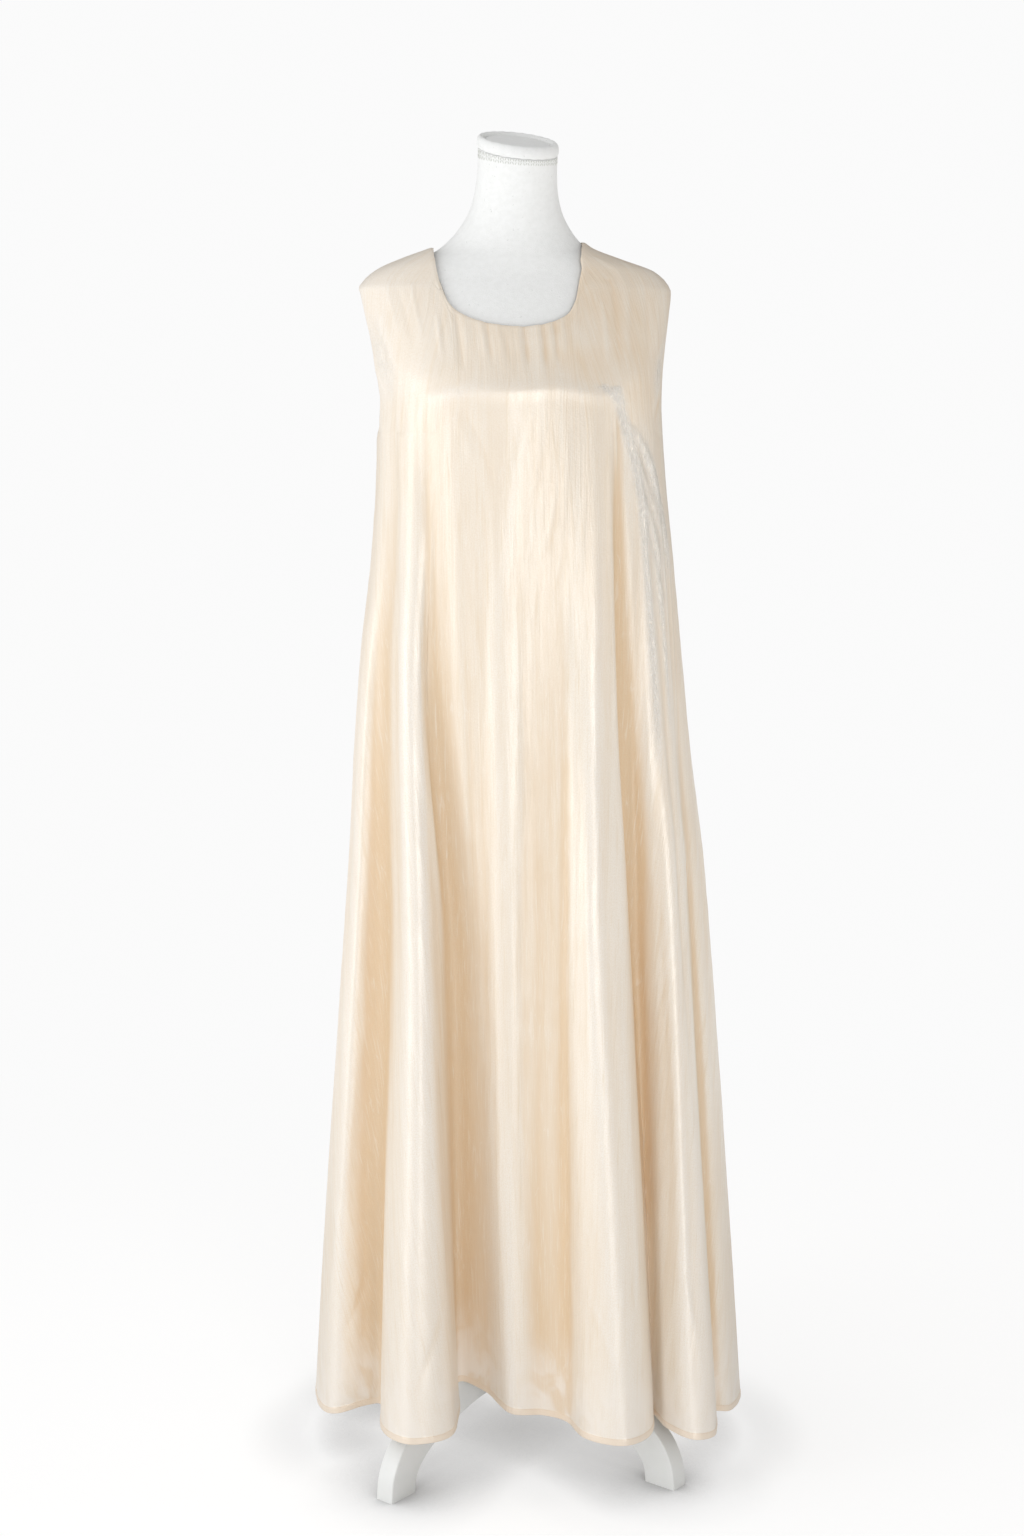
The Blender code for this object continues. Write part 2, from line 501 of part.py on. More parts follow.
def build_stand():
    paint = (0.90, 0.90, 0.88)
    mesh = bpy.data.meshes.new("stand_hub")
    bm = bmesh.new()
    bmesh.ops.create_cube(bm, size=1.0)
    bmesh.ops.scale(bm, vec=Vector((2 * HUB_HALF, 2 * HUB_HALF, HUB_TOP - HUB_BOTTOM)), verts=bm.verts)
    upright = [e for e in bm.edges if abs(e.verts[0].co.z - e.verts[1].co.z) > 0.01]
    bmesh.ops.bevel(bm, geom=upright, offset=0.008, segments=1, affect="EDGES")
    bmesh.ops.translate(bm, vec=Vector((0, 0, 0.5 * (HUB_TOP + HUB_BOTTOM))), verts=bm.verts)
    bm.to_mesh(mesh)
    bm.free()
    hub = link("stand_hub", mesh)
    hub.rotation_euler = (0, 0, math.radians(45.0) + STAND_TURN)
    hub.data.materials.append(material("stand_hub_paint", paint, 0.45))

    count = 24
    pole_bottom, pole_top = HUB_TOP + JOINT_GAP, FORM_RINGS[0][0] - JOINT_GAP
    rings = [[(POLE_RADIUS * math.cos(2 * math.pi * i / count), POLE_RADIUS * math.sin(2 * math.pi * i / count), z)
              for i in range(count)] for z in (pole_bottom, pole_top)]
    pole = loft("stand_pole", rings)
    pole.data.materials.append(material("stand_pole_paint", paint, 0.45))
    smooth_shading(pole, 40)

    line_s = np.linspace(0.0, 1.0, len(LEG_LINE))
    fine = np.linspace(0.0, 1.0, 15)
    reach = smooth_through(line_s, column(LEG_LINE, LEG_COLUMNS, "reach"), fine)
    height = smooth_through(line_s, column(LEG_LINE, LEG_COLUMNS, "z"), fine)
    along = np.stack([np.gradient(reach), np.gradient(height)], axis=1)
    along /= np.linalg.norm(along, axis=1, keepdims=True)
    along[0], along[-1] = (0.0, 1.0), (-1.0, 0.0)
    side = np.stack([along[:, 1], -along[:, 0]], axis=1)
    for name, angle in (("leg_front_left", 225.0), ("leg_front_right", 315.0),
                        ("leg_back_right", 45.0), ("leg_back_left", 135.0)):
        bm = bmesh.new()
        rows = []
        for k in range(len(fine)):
            row = []
            for edge, flank in ((1, -1), (1, 1), (-1, 1), (-1, -1)):
                r = reach[k] + side[k, 0] * edge * LEG_WIDTH / 2
                z = height[k] + side[k, 1] * edge * LEG_WIDTH / 2
                row.append(bm.verts.new((r, flank * LEG_THICK / 2, z)))
            rows.append(row)
        for low, high in zip(rows[:-1], rows[1:]):
            for i in range(4):
                j = (i + 1) % 4
                bm.faces.new((low[i], low[j], high[j], high[i]))
        bm.faces.new(list(reversed(rows[0])))
        bm.faces.new(rows[-1])
        bm.verts.ensure_lookup_table()
        long_edges = [e for e in bm.edges if any(
            {e.verts[0], e.verts[1]} == {low[i], high[i]}
            for low, high in zip(rows[:-1], rows[1:]) for i in range(4))]
        bmesh.ops.bevel(bm, geom=long_edges, offset=LEG_BEVEL, segments=1, affect="EDGES")
        bmesh.ops.recalc_face_normals(bm, faces=bm.faces)
        mesh = bpy.data.meshes.new(name)
        bm.to_mesh(mesh)
        bm.free()
        leg = link(name, mesh)
        leg.rotation_euler = (0, 0, math.radians(angle) + STAND_TURN)
        leg.data.materials.append(material(name + "_paint", paint, 0.45))
        smooth_shading(leg, 35)


build_dress()
build_form()
build_stand()
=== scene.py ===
import math

import bmesh
import bpy
import numpy as np
from mathutils import Matrix, Vector


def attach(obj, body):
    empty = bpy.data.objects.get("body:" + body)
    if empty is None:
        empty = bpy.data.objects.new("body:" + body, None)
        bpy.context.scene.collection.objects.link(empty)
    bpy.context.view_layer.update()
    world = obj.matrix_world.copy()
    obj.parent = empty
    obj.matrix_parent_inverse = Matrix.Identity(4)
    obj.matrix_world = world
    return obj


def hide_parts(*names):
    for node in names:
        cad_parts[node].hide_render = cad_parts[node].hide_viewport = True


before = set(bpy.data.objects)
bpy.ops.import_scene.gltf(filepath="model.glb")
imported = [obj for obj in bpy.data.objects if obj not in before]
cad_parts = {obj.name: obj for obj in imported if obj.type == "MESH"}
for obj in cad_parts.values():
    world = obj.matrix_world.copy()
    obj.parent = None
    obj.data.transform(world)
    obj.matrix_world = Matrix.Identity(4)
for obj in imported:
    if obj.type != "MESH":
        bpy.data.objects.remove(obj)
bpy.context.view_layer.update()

# ------------------------------------------------------------------ sizes
SEAM_GAP = 0.0004         # opening between the two panels at the seams
AXIS_X = -0.0095          # the stand's axis, from the middle of the hem
AXIS_Y = 0.0010
DRESS_TURN = math.radians(8.0)   # the folds lie in a frame turned by this much about the axis

UNDERARM_Z = 1.260        # bottom of the armholes, top of the side seams
TIP_Z = 1.427             # shoulder tip, top of the armholes
FOLD_TOP_Z = 1.335        # the folds start here, just above the bust line
KNEE_Z = 0.600            # middle level of the fold tables
ARMHOLE_FRONT = math.radians(10.5)   # how far the armhole is scooped to the front
ARMHOLE_BACK = math.radians(27.0)    # and to the back

# Smooth level sections of the dress, without its folds: height, half widths to the left and right,
# half depths to the front and back, and how far the section's middle lies behind the axis.
DRESS_RINGS_COLUMNS = ("z", "left", "right", "front", "back", "middle")
DRESS_RINGS = (
    (0.050, 0.2590, 0.2855, 0.170, 0.172, 0.000),
    (0.300, 0.2415, 0.2660, 0.163, 0.162, 0.000),
    (0.600, 0.2170, 0.2400, 0.156, 0.148, 0.000),
    (0.760, 0.2055, 0.2255, 0.151, 0.137, 0.000),
    (0.880, 0.1985, 0.2110, 0.147, 0.128, 0.000),
    (1.000, 0.1890, 0.2000, 0.143, 0.118, 0.000),
    (1.100, 0.1770, 0.1900, 0.140, 0.111, 0.000),
    (1.200, 0.1695, 0.1790, 0.137, 0.107, 0.000),
    (1.250, 0.1680, 0.1750, 0.1355, 0.106, 0.000),
    (1.262, 0.1677, 0.1740, 0.135, 0.106, 0.000),
    (1.290, 0.1685, 0.1728, 0.134, 0.106, 0.000),
    (1.316, 0.1720, 0.1735, 0.130, 0.105, 0.000),
    (1.360, 0.1790, 0.1785, 0.113, 0.101, 0.004),
    (1.400, 0.1850, 0.1850, 0.099, 0.094, 0.012),
    (1.427, 0.1875, 0.1885, 0.090, 0.082, 0.019),
    (1.438, 0.1810, 0.1835, 0.087, 0.075, 0.023),
    (1.450, 0.1670, 0.1710, 0.084, 0.068, 0.027),
    (1.465, 0.1340, 0.1300, 0.082, 0.060, 0.031),
    (1.478, 0.0990, 0.0950, 0.080, 0.052, 0.034),
    (1.487, 0.0800, 0.0830, 0.078, 0.046, 0.036),
)

# Fold lines of the front, left to right: where the line starts round the bust (degrees from the
# left side), then its place across and out from the axis at the knee and at the hem, in the
# turned frame, and the height of the hem on it.
FOLD_COLUMNS = ("name", "turn", "knee_across", "knee_out", "hem_across", "hem_out", "hem_z")
FRONT_FOLDS = (
    ("side_left",     0.0, -0.2175, 0.000, -0.2560, 0.000, 0.052),
    ("left_corner",   6.0, -0.2115, 0.036, -0.2420, 0.062, 0.056),
    ("left_panel",   13.0, -0.1990, 0.060, -0.2220, 0.086, 0.062),
    ("left_valley",  21.0, -0.1760, 0.054, -0.1880, 0.076, 0.068),
    ("fold_a_root",  26.0, -0.1560, 0.069, -0.1665, 0.087, 0.073),
    ("fold_a_edge",  29.5, -0.1470, 0.112, -0.1640, 0.165, 0.079),
    ("fold_a_front", 33.0, -0.1340, 0.148, -0.1400, 0.214, 0.083),
    ("fold_a_crest", 37.0, -0.1180, 0.161, -0.1120, 0.224, 0.085),
    ("fold_a_cheek", 41.5, -0.1000, 0.152, -0.0780, 0.206, 0.087),
    ("fold_a_back",  45.0, -0.0910, 0.132, -0.0700, 0.155, 0.095),
    ("deep_valley",  50.0, -0.0760, 0.106, -0.0710, 0.110, 0.113),
    ("valley_rise",  60.0, -0.0470, 0.115, -0.0370, 0.124, 0.106),
    ("middle_left",  74.0, -0.0150, 0.138, -0.0090, 0.160, 0.095),
    ("middle_right", 89.0,  0.0250, 0.135,  0.0300, 0.151, 0.089),
    ("ridge_b_root", 99.0,  0.0500, 0.140,  0.0600, 0.167, 0.087),
    ("ridge_b_left", 105.0, 0.0680, 0.158,  0.0800, 0.208, 0.085),
    ("ridge_b_crest", 112.0, 0.0930, 0.170, 0.1220, 0.229, 0.085),
    ("ridge_b_cheek", 118.0, 0.1180, 0.160, 0.1530, 0.208, 0.085),
    ("ridge_b_edge", 122.0, 0.1330, 0.140,  0.1645, 0.170, 0.087),
    ("tan_valley",   127.5, 0.1420, 0.098,  0.1610, 0.138, 0.090),
    ("fold_c_left",  134.0, 0.1600, 0.106,  0.1790, 0.174, 0.083),
    ("fold_c_crest", 141.0, 0.1840, 0.122,  0.2080, 0.196, 0.078),
    ("fold_c_cheek", 148.0, 0.2010, 0.112,  0.2350, 0.180, 0.075),
    ("fold_c_edge",  153.0, 0.2080, 0.090,  0.2420, 0.140, 0.072),
    ("side_valley",  158.0, 0.2130, 0.060,  0.2430, 0.096, 0.069),
    ("right_panel",  166.0, 0.2280, 0.045,  0.2650, 0.078, 0.063),
    ("side_right",   180.0, 0.2410, 0.003,  0.2835, 0.005, 0.054),
)
# Fold lines of the back, right to left, with the same columns (out is negative behind the axis).
BACK_FOLDS = (
    ("back_right_corner", 193.0,  0.2345, -0.045,  0.2760, -0.062, 0.057),
    ("fold_d_crest",      203.0,  0.2150, -0.082,  0.2620, -0.118, 0.064),
    ("fold_d_cheek",      210.0,  0.1960, -0.100,  0.2380, -0.142, 0.068),
    ("valley_d",          217.0,  0.1780, -0.096,  0.2140, -0.120, 0.075),
    ("fold_e_root",       224.0,  0.1600, -0.112,  0.1960, -0.150, 0.078),
    ("fold_e_crest",      232.0,  0.1360, -0.140,  0.1680, -0.210, 0.081),
    ("fold_e_cheek",      240.0,  0.1100, -0.150,  0.1280, -0.226, 0.083),
    ("fold_e_back",       246.0,  0.0880, -0.138,  0.0940, -0.200, 0.088),
    ("valley_e",          252.0,  0.0700, -0.120,  0.0820, -0.142, 0.100),
    ("back_right_middle", 260.0,  0.0420, -0.124,  0.0500, -0.150, 0.096),
    ("fold_f_root",       267.0,  0.0150, -0.130,  0.0180, -0.168, 0.090),
    ("fold_f_crest",      273.0, -0.0100, -0.155, -0.0080, -0.222, 0.086),
    ("fold_f_cheek",      281.0, -0.0360, -0.164, -0.0480, -0.238, 0.084),
    ("fold_f_back",       287.0, -0.0580, -0.148, -0.0780, -0.205, 0.088),
    ("valley_f",          293.0, -0.0740, -0.124, -0.0880, -0.152, 0.098),
    ("back_left_middle",  301.0, -0.1000, -0.118, -0.1180, -0.152, 0.092),
    ("fold_g_root",       308.0, -0.1220, -0.118, -0.1420, -0.172, 0.085),
    ("fold_g_crest",      316.0, -0.1460, -0.130, -0.1700, -0.206, 0.079),
    ("fold_g_cheek",      325.0, -0.1700, -0.114, -0.2050, -0.184, 0.074),
    ("valley_g",          332.0, -0.1800, -0.086, -0.2140, -0.128, 0.070),
    ("back_left_panel",   342.0, -0.2000, -0.060, -0.2400, -0.090, 0.062),
    ("back_left_corner",  351.0, -0.2125, -0.030, -0.2535, -0.045, 0.055),
)

# The neckline: degrees round from the left side, and height.
NECKLINE_COLUMNS = ("turn", "z")
FRONT_NECKLINE = (
    (0.0, 1.4790), (15.0, 1.4765), (30.0, 1.4715), (40.0, 1.4655), (51.0, 1.4535), (56.0, 1.4410),
    (58.5, 1.4280), (60.0, 1.4155), (62.0, 1.4055), (65.0, 1.3980), (72.0, 1.3885), (80.0, 1.3835),
    (87.0, 1.3820), (94.0, 1.3840), (100.0, 1.3890), (105.0, 1.3975), (108.0, 1.4125), (110.5, 1.4360),
    (117.0, 1.4575), (125.0, 1.4670), (135.0, 1.4740), (145.0, 1.4790), (155.0, 1.4835), (180.0, 1.4870),
)
BACK_NECKLINE = (
    (180.0, 1.4870), (205.0, 1.4740), (240.0, 1.4650), (270.0, 1.4625), (300.0, 1.4635), (335.0, 1.4700), (360.0, 1.4790),
)

# The form: height, half width, half depths to the front and back, middle behind the axis.
FORM_RINGS_COLUMNS = ("z", "half", "front", "back", "middle")
FORM_RINGS = (
    (0.7200, 0.1500, 0.0920, 0.0900, 0.000),
    (0.7400, 0.1540, 0.0950, 0.0920, 0.000),
    (0.8000, 0.1590, 0.0970, 0.0930, 0.000),
    (0.8800, 0.1560, 0.0970, 0.0920, 0.000),
    (0.9800, 0.1390, 0.0950, 0.0870, 0.000),
    (1.0600, 0.1330, 0.0950, 0.0850, 0.000),
    (1.1500, 0.1430, 0.1060, 0.0900, 0.000),
    (1.2400, 0.1560, 0.1250, 0.0990, 0.000),
    (1.2888, 0.1590, 0.1275, 0.0990, 0.000),
    (1.3118, 0.1625, 0.1243, 0.0990, 0.000),
    (1.3553, 0.1695, 0.1077, 0.0950, 0.004),
    (1.3953, 0.1755, 0.0940, 0.0880, 0.012),
    (1.4218, 0.1785, 0.0852, 0.0765, 0.019),
    (1.4328, 0.1735, 0.0823, 0.0695, 0.023),
    (1.4448, 0.1615, 0.0793, 0.0625, 0.027),
    (1.4598, 0.1265, 0.0773, 0.0545, 0.031),
    (1.4728, 0.0945, 0.0753, 0.0475, 0.034),
    (1.4860, 0.0780, 0.0692, 0.0500, 0.031),
    (1.5000, 0.0660, 0.0624, 0.0530, 0.025),
    (1.5170, 0.0560, 0.0562, 0.0530, 0.018),
    (1.5350, 0.0503, 0.0530, 0.0520, 0.012),
    (1.5520, 0.0477, 0.0510, 0.0510, 0.006),
    (1.5720, 0.0465, 0.0500, 0.0500, 0.000),
    (1.5860, 0.0463, 0.0500, 0.0500, -0.003),
)
NECK_TILT_Z = 1.530       # the sections start to lean here, up to the neck's slanted end
NECK_TILT_FRONT = math.radians(16.0)   # the end slopes down to the front
NECK_TILT_SIDE = math.radians(3.7)     # and a little to the right

# ------------------------------------------------------------------ curves through the tables
def column(table, names, name):
    return np.array([row[names.index(name)] for row in table], dtype=float)


def smooth_through(xs, ys, x):
    """Monotone cubic curve through a table's points; the ends carry on straight."""
    xs, ys, x = np.asarray(xs, float), np.asarray(ys, float), np.asarray(x, float)
    h = np.diff(xs)
    d = np.diff(ys) / h
    m = np.zeros(len(xs))
    m[0], m[-1] = d[0], d[-1]
    for i in range(1, len(xs) - 1):
        if d[i - 1] * d[i] > 0:
            w1, w2 = 2 * h[i] + h[i - 1], h[i] + 2 * h[i - 1]
            m[i] = (w1 + w2) / (w1 / d[i - 1] + w2 / d[i])
    i = np.clip(np.searchsorted(xs, x, side="right") - 1, 0, len(h) - 1)
    s = np.clip((x - xs[i]) / h[i], 0.0, 1.0)
    value = ((2 * s**3 - 3 * s**2 + 1) * ys[i] + (s**3 - 2 * s**2 + s) * h[i] * m[i]
             + (-2 * s**3 + 3 * s**2) * ys[i + 1] + (s**3 - s**2) * h[i] * m[i + 1])
    value = np.where(x < xs[0], ys[0] + m[0] * (x - xs[0]), value)
    return np.where(x > xs[-1], ys[-1] + m[-1] * (x - xs[-1]), value)


def through_controls(values, u, period=None):
    """Catmull-Rom curve through one value for each whole number of u, closed on itself."""
    n = len(values)
    i = np.floor(u).astype(int)
    s = u - i
    picks = []
    for k in (-1, 0, 1, 2):
        j = i + k
        v = values[np.mod(j, n)]
        if period is not None:
            v = v + period * np.floor_divide(j, n)
        picks.append(v)
    p0, p1, p2, p3 = picks
    return 0.5 * (2 * p1 + (p2 - p0) * s + (2 * p0 - 5 * p1 + 4 * p2 - p3) * s**2
                  + (3 * p1 - p0 - 3 * p2 + p3) * s**3)


# ------------------------------------------------------------------ the dress
def dress_ring(turn, z):
    """A point of the smooth section at this height, turn radians round from the left side."""
    left, right, front, back, middle = (
        smooth_through(column(DRESS_RINGS, DRESS_RINGS_COLUMNS, "z"),
                       column(DRESS_RINGS, DRESS_RINGS_COLUMNS, name), z)
        for name in DRESS_RINGS_COLUMNS[1:])
    c, s = np.cos(turn), np.sin(turn)
    return -np.where(c > 0, left, right) * c, middle - np.where(s > 0, front, back) * s


FOLDS = FRONT_FOLDS + BACK_FOLDS
FRONT_COUNT = len(FRONT_FOLDS) - 1      # the fold number of the right side seam
FOLD_COUNT = len(FOLDS)


def turned(across, out):
    c, s = math.cos(DRESS_TURN), math.sin(DRESS_TURN)
    return across * c - out * s, -across * s - out * c


def fold_offsets():
    """How far each fold line stands off the smooth section, at the knee and at the hem."""
    turn = np.radians(column(FOLDS, FOLD_COLUMNS, "turn"))
    hem_z = column(FOLDS, FOLD_COLUMNS, "hem_z")
    result = []
    for part, z in (("knee", np.full(len(turn), KNEE_Z)), ("hem", hem_z)):
        x, y = turned(column(FOLDS, FOLD_COLUMNS, part + "_across"), column(FOLDS, FOLD_COLUMNS, part + "_out"))
        ring_x, ring_y = dress_ring(turn, z)
        result.append((x - ring_x, y - ring_y))
    return turn, hem_z, result[0], result[1]


FOLD_TURN, FOLD_HEM_Z, KNEE_OFFSET, HEM_OFFSET = fold_offsets()


def turn_of(u):
    return through_controls(FOLD_TURN, u, period=2 * math.pi)


def hem_height(u):
    return through_controls(FOLD_HEM_Z, u)


def opening(knee, hem, z, hem_z):
    """A fold's stand-off at height z: none at the bust line, the table's at the knee and hem."""
    upper, lower = FOLD_TOP_Z - KNEE_Z, KNEE_Z - hem_z
    d_up, d_low = knee / upper, (hem - knee) / lower
    agree = d_up * d_low > 0
    bend = np.where(agree, 2 * d_up * d_low / np.where(agree, d_up + d_low, 1.0), 0.0)
    s = np.clip((FOLD_TOP_Z - z) / upper, 0.0, 1.0)
    high = knee * (3 * s**2 - 2 * s**3) + bend * upper * (s**3 - s**2)
    q = np.clip((KNEE_Z - z) / lower, 0.0, 1.2)
    end = 1.5 * d_low - 0.5 * bend
    low = ((2 * q**3 - 3 * q**2 + 1) * knee + (q**3 - 2 * q**2 + q) * lower * bend
           + (3 * q**2 - 2 * q**3) * hem + (q**3 - q**2) * lower * end)
    return np.where(z > KNEE_Z, high, low)


def armhole_scoop(turn, z, back):
    """Shift of a point's turn that opens the armholes, strongest at the sides."""
    middle, half = 0.5 * (UNDERARM_Z + TIP_Z), 0.5 * (TIP_Z - UNDERARM_Z)
    rise = np.clip(1.0 - np.abs((z - middle) / half) ** 2.4, 0.0, 1.0) ** (1 / 2.4)
    pull = (ARMHOLE_BACK if back else ARMHOLE_FRONT) * rise
    side = np.cos(turn)
    way = np.sign(side) * (-1.0 if back else 1.0)
    return pull * way * side**2


def dress_point(u, z, back):
    """Outer face of the dress on column u at height z."""
    turn = turn_of(u)
    hem_z = hem_height(u)
    shift = [opening(through_controls(KNEE_OFFSET[k], u), through_controls(HEM_OFFSET[k], u), z, hem_z)
             for k in (0, 1)]
    x, y = dress_ring(turn + armhole_scoop(turn, z, back), z)
    return np.stack([x + shift[0], y + shift[1], np.broadcast_to(z, np.shape(x))], axis=-1)


def neck_height(u, back):
    """Where column u ends at the neckline, or at the neck end of a shoulder seam."""
    table = BACK_NECKLINE if back else FRONT_NECKLINE
    turns = np.radians(column(table, NECKLINE_COLUMNS, "turn"))
    heights = column(table, NECKLINE_COLUMNS, "z")
    turn = turn_of(u)
    z = smooth_through(turns, heights, turn)
    for _ in range(12):
        z = smooth_through(turns, heights, turn + armhole_scoop(turn, z, back))
    return z


def tilt_of(z):
    """How much of the neck's slant a section at this height has."""
    top = FORM_RINGS[-1][0]
    return smooth_through([NECK_TILT_Z, 0.5 * (NECK_TILT_Z + top), top], [0.0, 0.35, 1.0],
                          np.clip(z, NECK_TILT_Z, top))


def slant(x, y, middle, share):
    return share * (math.tan(NECK_TILT_FRONT) * (y - middle) - math.tan(NECK_TILT_SIDE) * x)


def form_point(angle, z, grow=1.0):
    half, front, back, middle = (
        smooth_through(column(FORM_RINGS, FORM_RINGS_COLUMNS, "z"),
                       column(FORM_RINGS, FORM_RINGS_COLUMNS, name), z)
        for name in FORM_RINGS_COLUMNS[1:])
    c, s = np.cos(angle), np.sin(angle)
    x = -half * c * grow
    y = middle - np.where(s > 0, front, back) * s * grow
    return x, y, z + slant(x, y, middle, tilt_of(z))



# ------------------------------------------------------------------ noise
def smooth_noise(x, y, seed):
    """Gradient noise, about -1 to 1, one wave for each unit of x and y."""
    rng = np.random.default_rng(seed)
    angle = rng.uniform(0.0, 2 * math.pi, (256, 256))
    gx, gy = np.cos(angle), np.sin(angle)
    xi, yi = np.floor(x).astype(int), np.floor(y).astype(int)
    fx, fy = x - xi, y - yi
    wx = fx * fx * fx * (fx * (fx * 6 - 15) + 10)
    wy = fy * fy * fy * (fy * (fy * 6 - 15) + 10)

    def corner(i, j):
        a, b = (xi + i) % 256, (yi + j) % 256
        return gx[a, b] * (fx - i) + gy[a, b] * (fy - j)

    low = corner(0, 0) * (1 - wx) + corner(1, 0) * wx
    high = corner(0, 1) * (1 - wx) + corner(1, 1) * wx
    return 1.6 * (low * (1 - wy) + high * wy)


def step(low, high, x):
    t = np.clip((x - low) / (high - low), 0.0, 1.0)
    return t * t * (3 - 2 * t)


# ------------------------------------------------------------------ the cloth's fine grid
SHELL = 0.0009            # the cloth's wall here, over the same outer form
HEM_BAND = 0.0078         # depth of the turned hem
HEM_ROWS = (0.0006, 0.0016, 0.0030, 0.0046, 0.0060, 0.0070, 0.0078, 0.0088, 0.0104, 0.0128)
EDGE_STEPS = (0.0140, 0.0100, 0.0070, 0.0046, 0.0030, 0.0018, 0.0009, 0.0003)
COLUMNS_EACH = 9
SKIRT_ROWS = 178
ARM_ROWS = 62
SHOULDER_ROWS = 14


def fine_grid(back):
    """Outer face of a panel without creases: rows from the hem up, columns side seam to side seam."""
    first, last = (FRONT_COUNT, FOLD_COUNT) if back else (0, FRONT_COUNT)
    us = [float(first)]
    for k in range(first, last):
        gap = math.degrees(float(turn_of(np.array(k + 1.0)) - turn_of(np.array(float(k)))))
        count = max(COLUMNS_EACH, int(round(gap * COLUMNS_EACH / 9.0)))
        us += [k + (i + 1) / count for i in range(count)]
    edge = [0.02, 0.05, 0.09]
    us = sorted(set([round(u, 5) for u in us] + [first + e for e in edge] + [last - e for e in edge]))
    if len(us) % 2 == 0:
        us.insert(len(us) // 2, 0.5 * (us[len(us) // 2 - 1] + us[len(us) // 2]))
    grid = []
    for u in us:
        hem_z = float(hem_height(np.array(u)))
        top_z = float(neck_height(np.array(u), back))
        start = hem_z + HEM_ROWS[-1]
        skirt = np.concatenate([[hem_z], hem_z + np.array(HEM_ROWS),
                                start + (UNDERARM_Z - start) * np.linspace(0, 1, SKIRT_ROWS + 1)[1:]])
        fine = np.linspace(UNDERARM_Z, top_z, 700)
        path = dress_point(np.full(len(fine), u), fine, back)
        run = np.concatenate([[0.0], np.cumsum(np.linalg.norm(np.diff(path, axis=0), axis=1))])
        tip = float(np.interp(TIP_Z, fine, run))
        side = abs(math.cos(float(turn_of(np.array(u))))) ** 4
        share = ARM_ROWS / (ARM_ROWS + SHOULDER_ROWS)
        knot = (share + (tip / run[-1] - share) * side) * run[-1]
        arc = 0.5 * (1.0 - np.cos(math.pi * np.linspace(0, 1, ARM_ROWS + 1)))
        even = np.linspace(0, 1, ARM_ROWS + 1)
        blend = 0.6 * side
        lower = knot * (blend * arc + (1.0 - blend) * even)
        room = run[-1] - knot
        ends = [room - min(e, room * 0.6 * e / EDGE_STEPS[0]) for e in EDGE_STEPS]
        plain = ends[0] * np.linspace(0, 1, SHOULDER_ROWS + 1)[1:]
        upper = np.interp(np.concatenate([lower, knot + plain, knot + np.array(ends[1:]), [run[-1]]]), run, fine)
        zs = np.concatenate([skirt, upper[1:]])
        grid.append(dress_point(np.full(len(zs), u), zs, back))
    return np.array(us), np.array(grid).transpose(1, 0, 2)


def grid_normals(grid):
    across = np.gradient(grid, axis=1)
    up = np.gradient(grid, axis=0)
    n = np.cross(across, up)
    return n / np.maximum(np.linalg.norm(n, axis=2, keepdims=True), 1e-12)


def plain_normals(us, grid, back):
    """Normals of the plain face.  Round the armholes they come from the smooth sections, because
    the columns slide sideways there."""
    z = grid[..., 2]
    turn = turn_of(us)[None, :] + armhole_scoop(turn_of(us)[None, :], z, back)
    small = 1e-4

    def point(angle, height):
        x, y = dress_ring(angle, height)
        return np.stack([x, y, height], axis=-1)

    across = point(turn + small, z) - point(turn - small, z)
    up = point(turn, z + small) - point(turn, z - small)
    ring = np.cross(across, up)
    ring /= np.maximum(np.linalg.norm(ring, axis=2, keepdims=True), 1e-15)
    share = step(UNDERARM_Z - 0.050, UNDERARM_Z - 0.015, z)[..., None]
    n = grid_normals(grid) * (1.0 - share) + ring * share
    return n / np.linalg.norm(n, axis=2, keepdims=True)


def lengths(grid, axis):
    """Length along the grid from its first row or column."""
    seg = np.linalg.norm(np.diff(grid, axis=axis), axis=2)
    total = np.cumsum(seg, axis=axis)
    zero = np.zeros_like(total[:1] if axis == 0 else total[:, :1])
    return np.concatenate([zero, total], axis=axis)


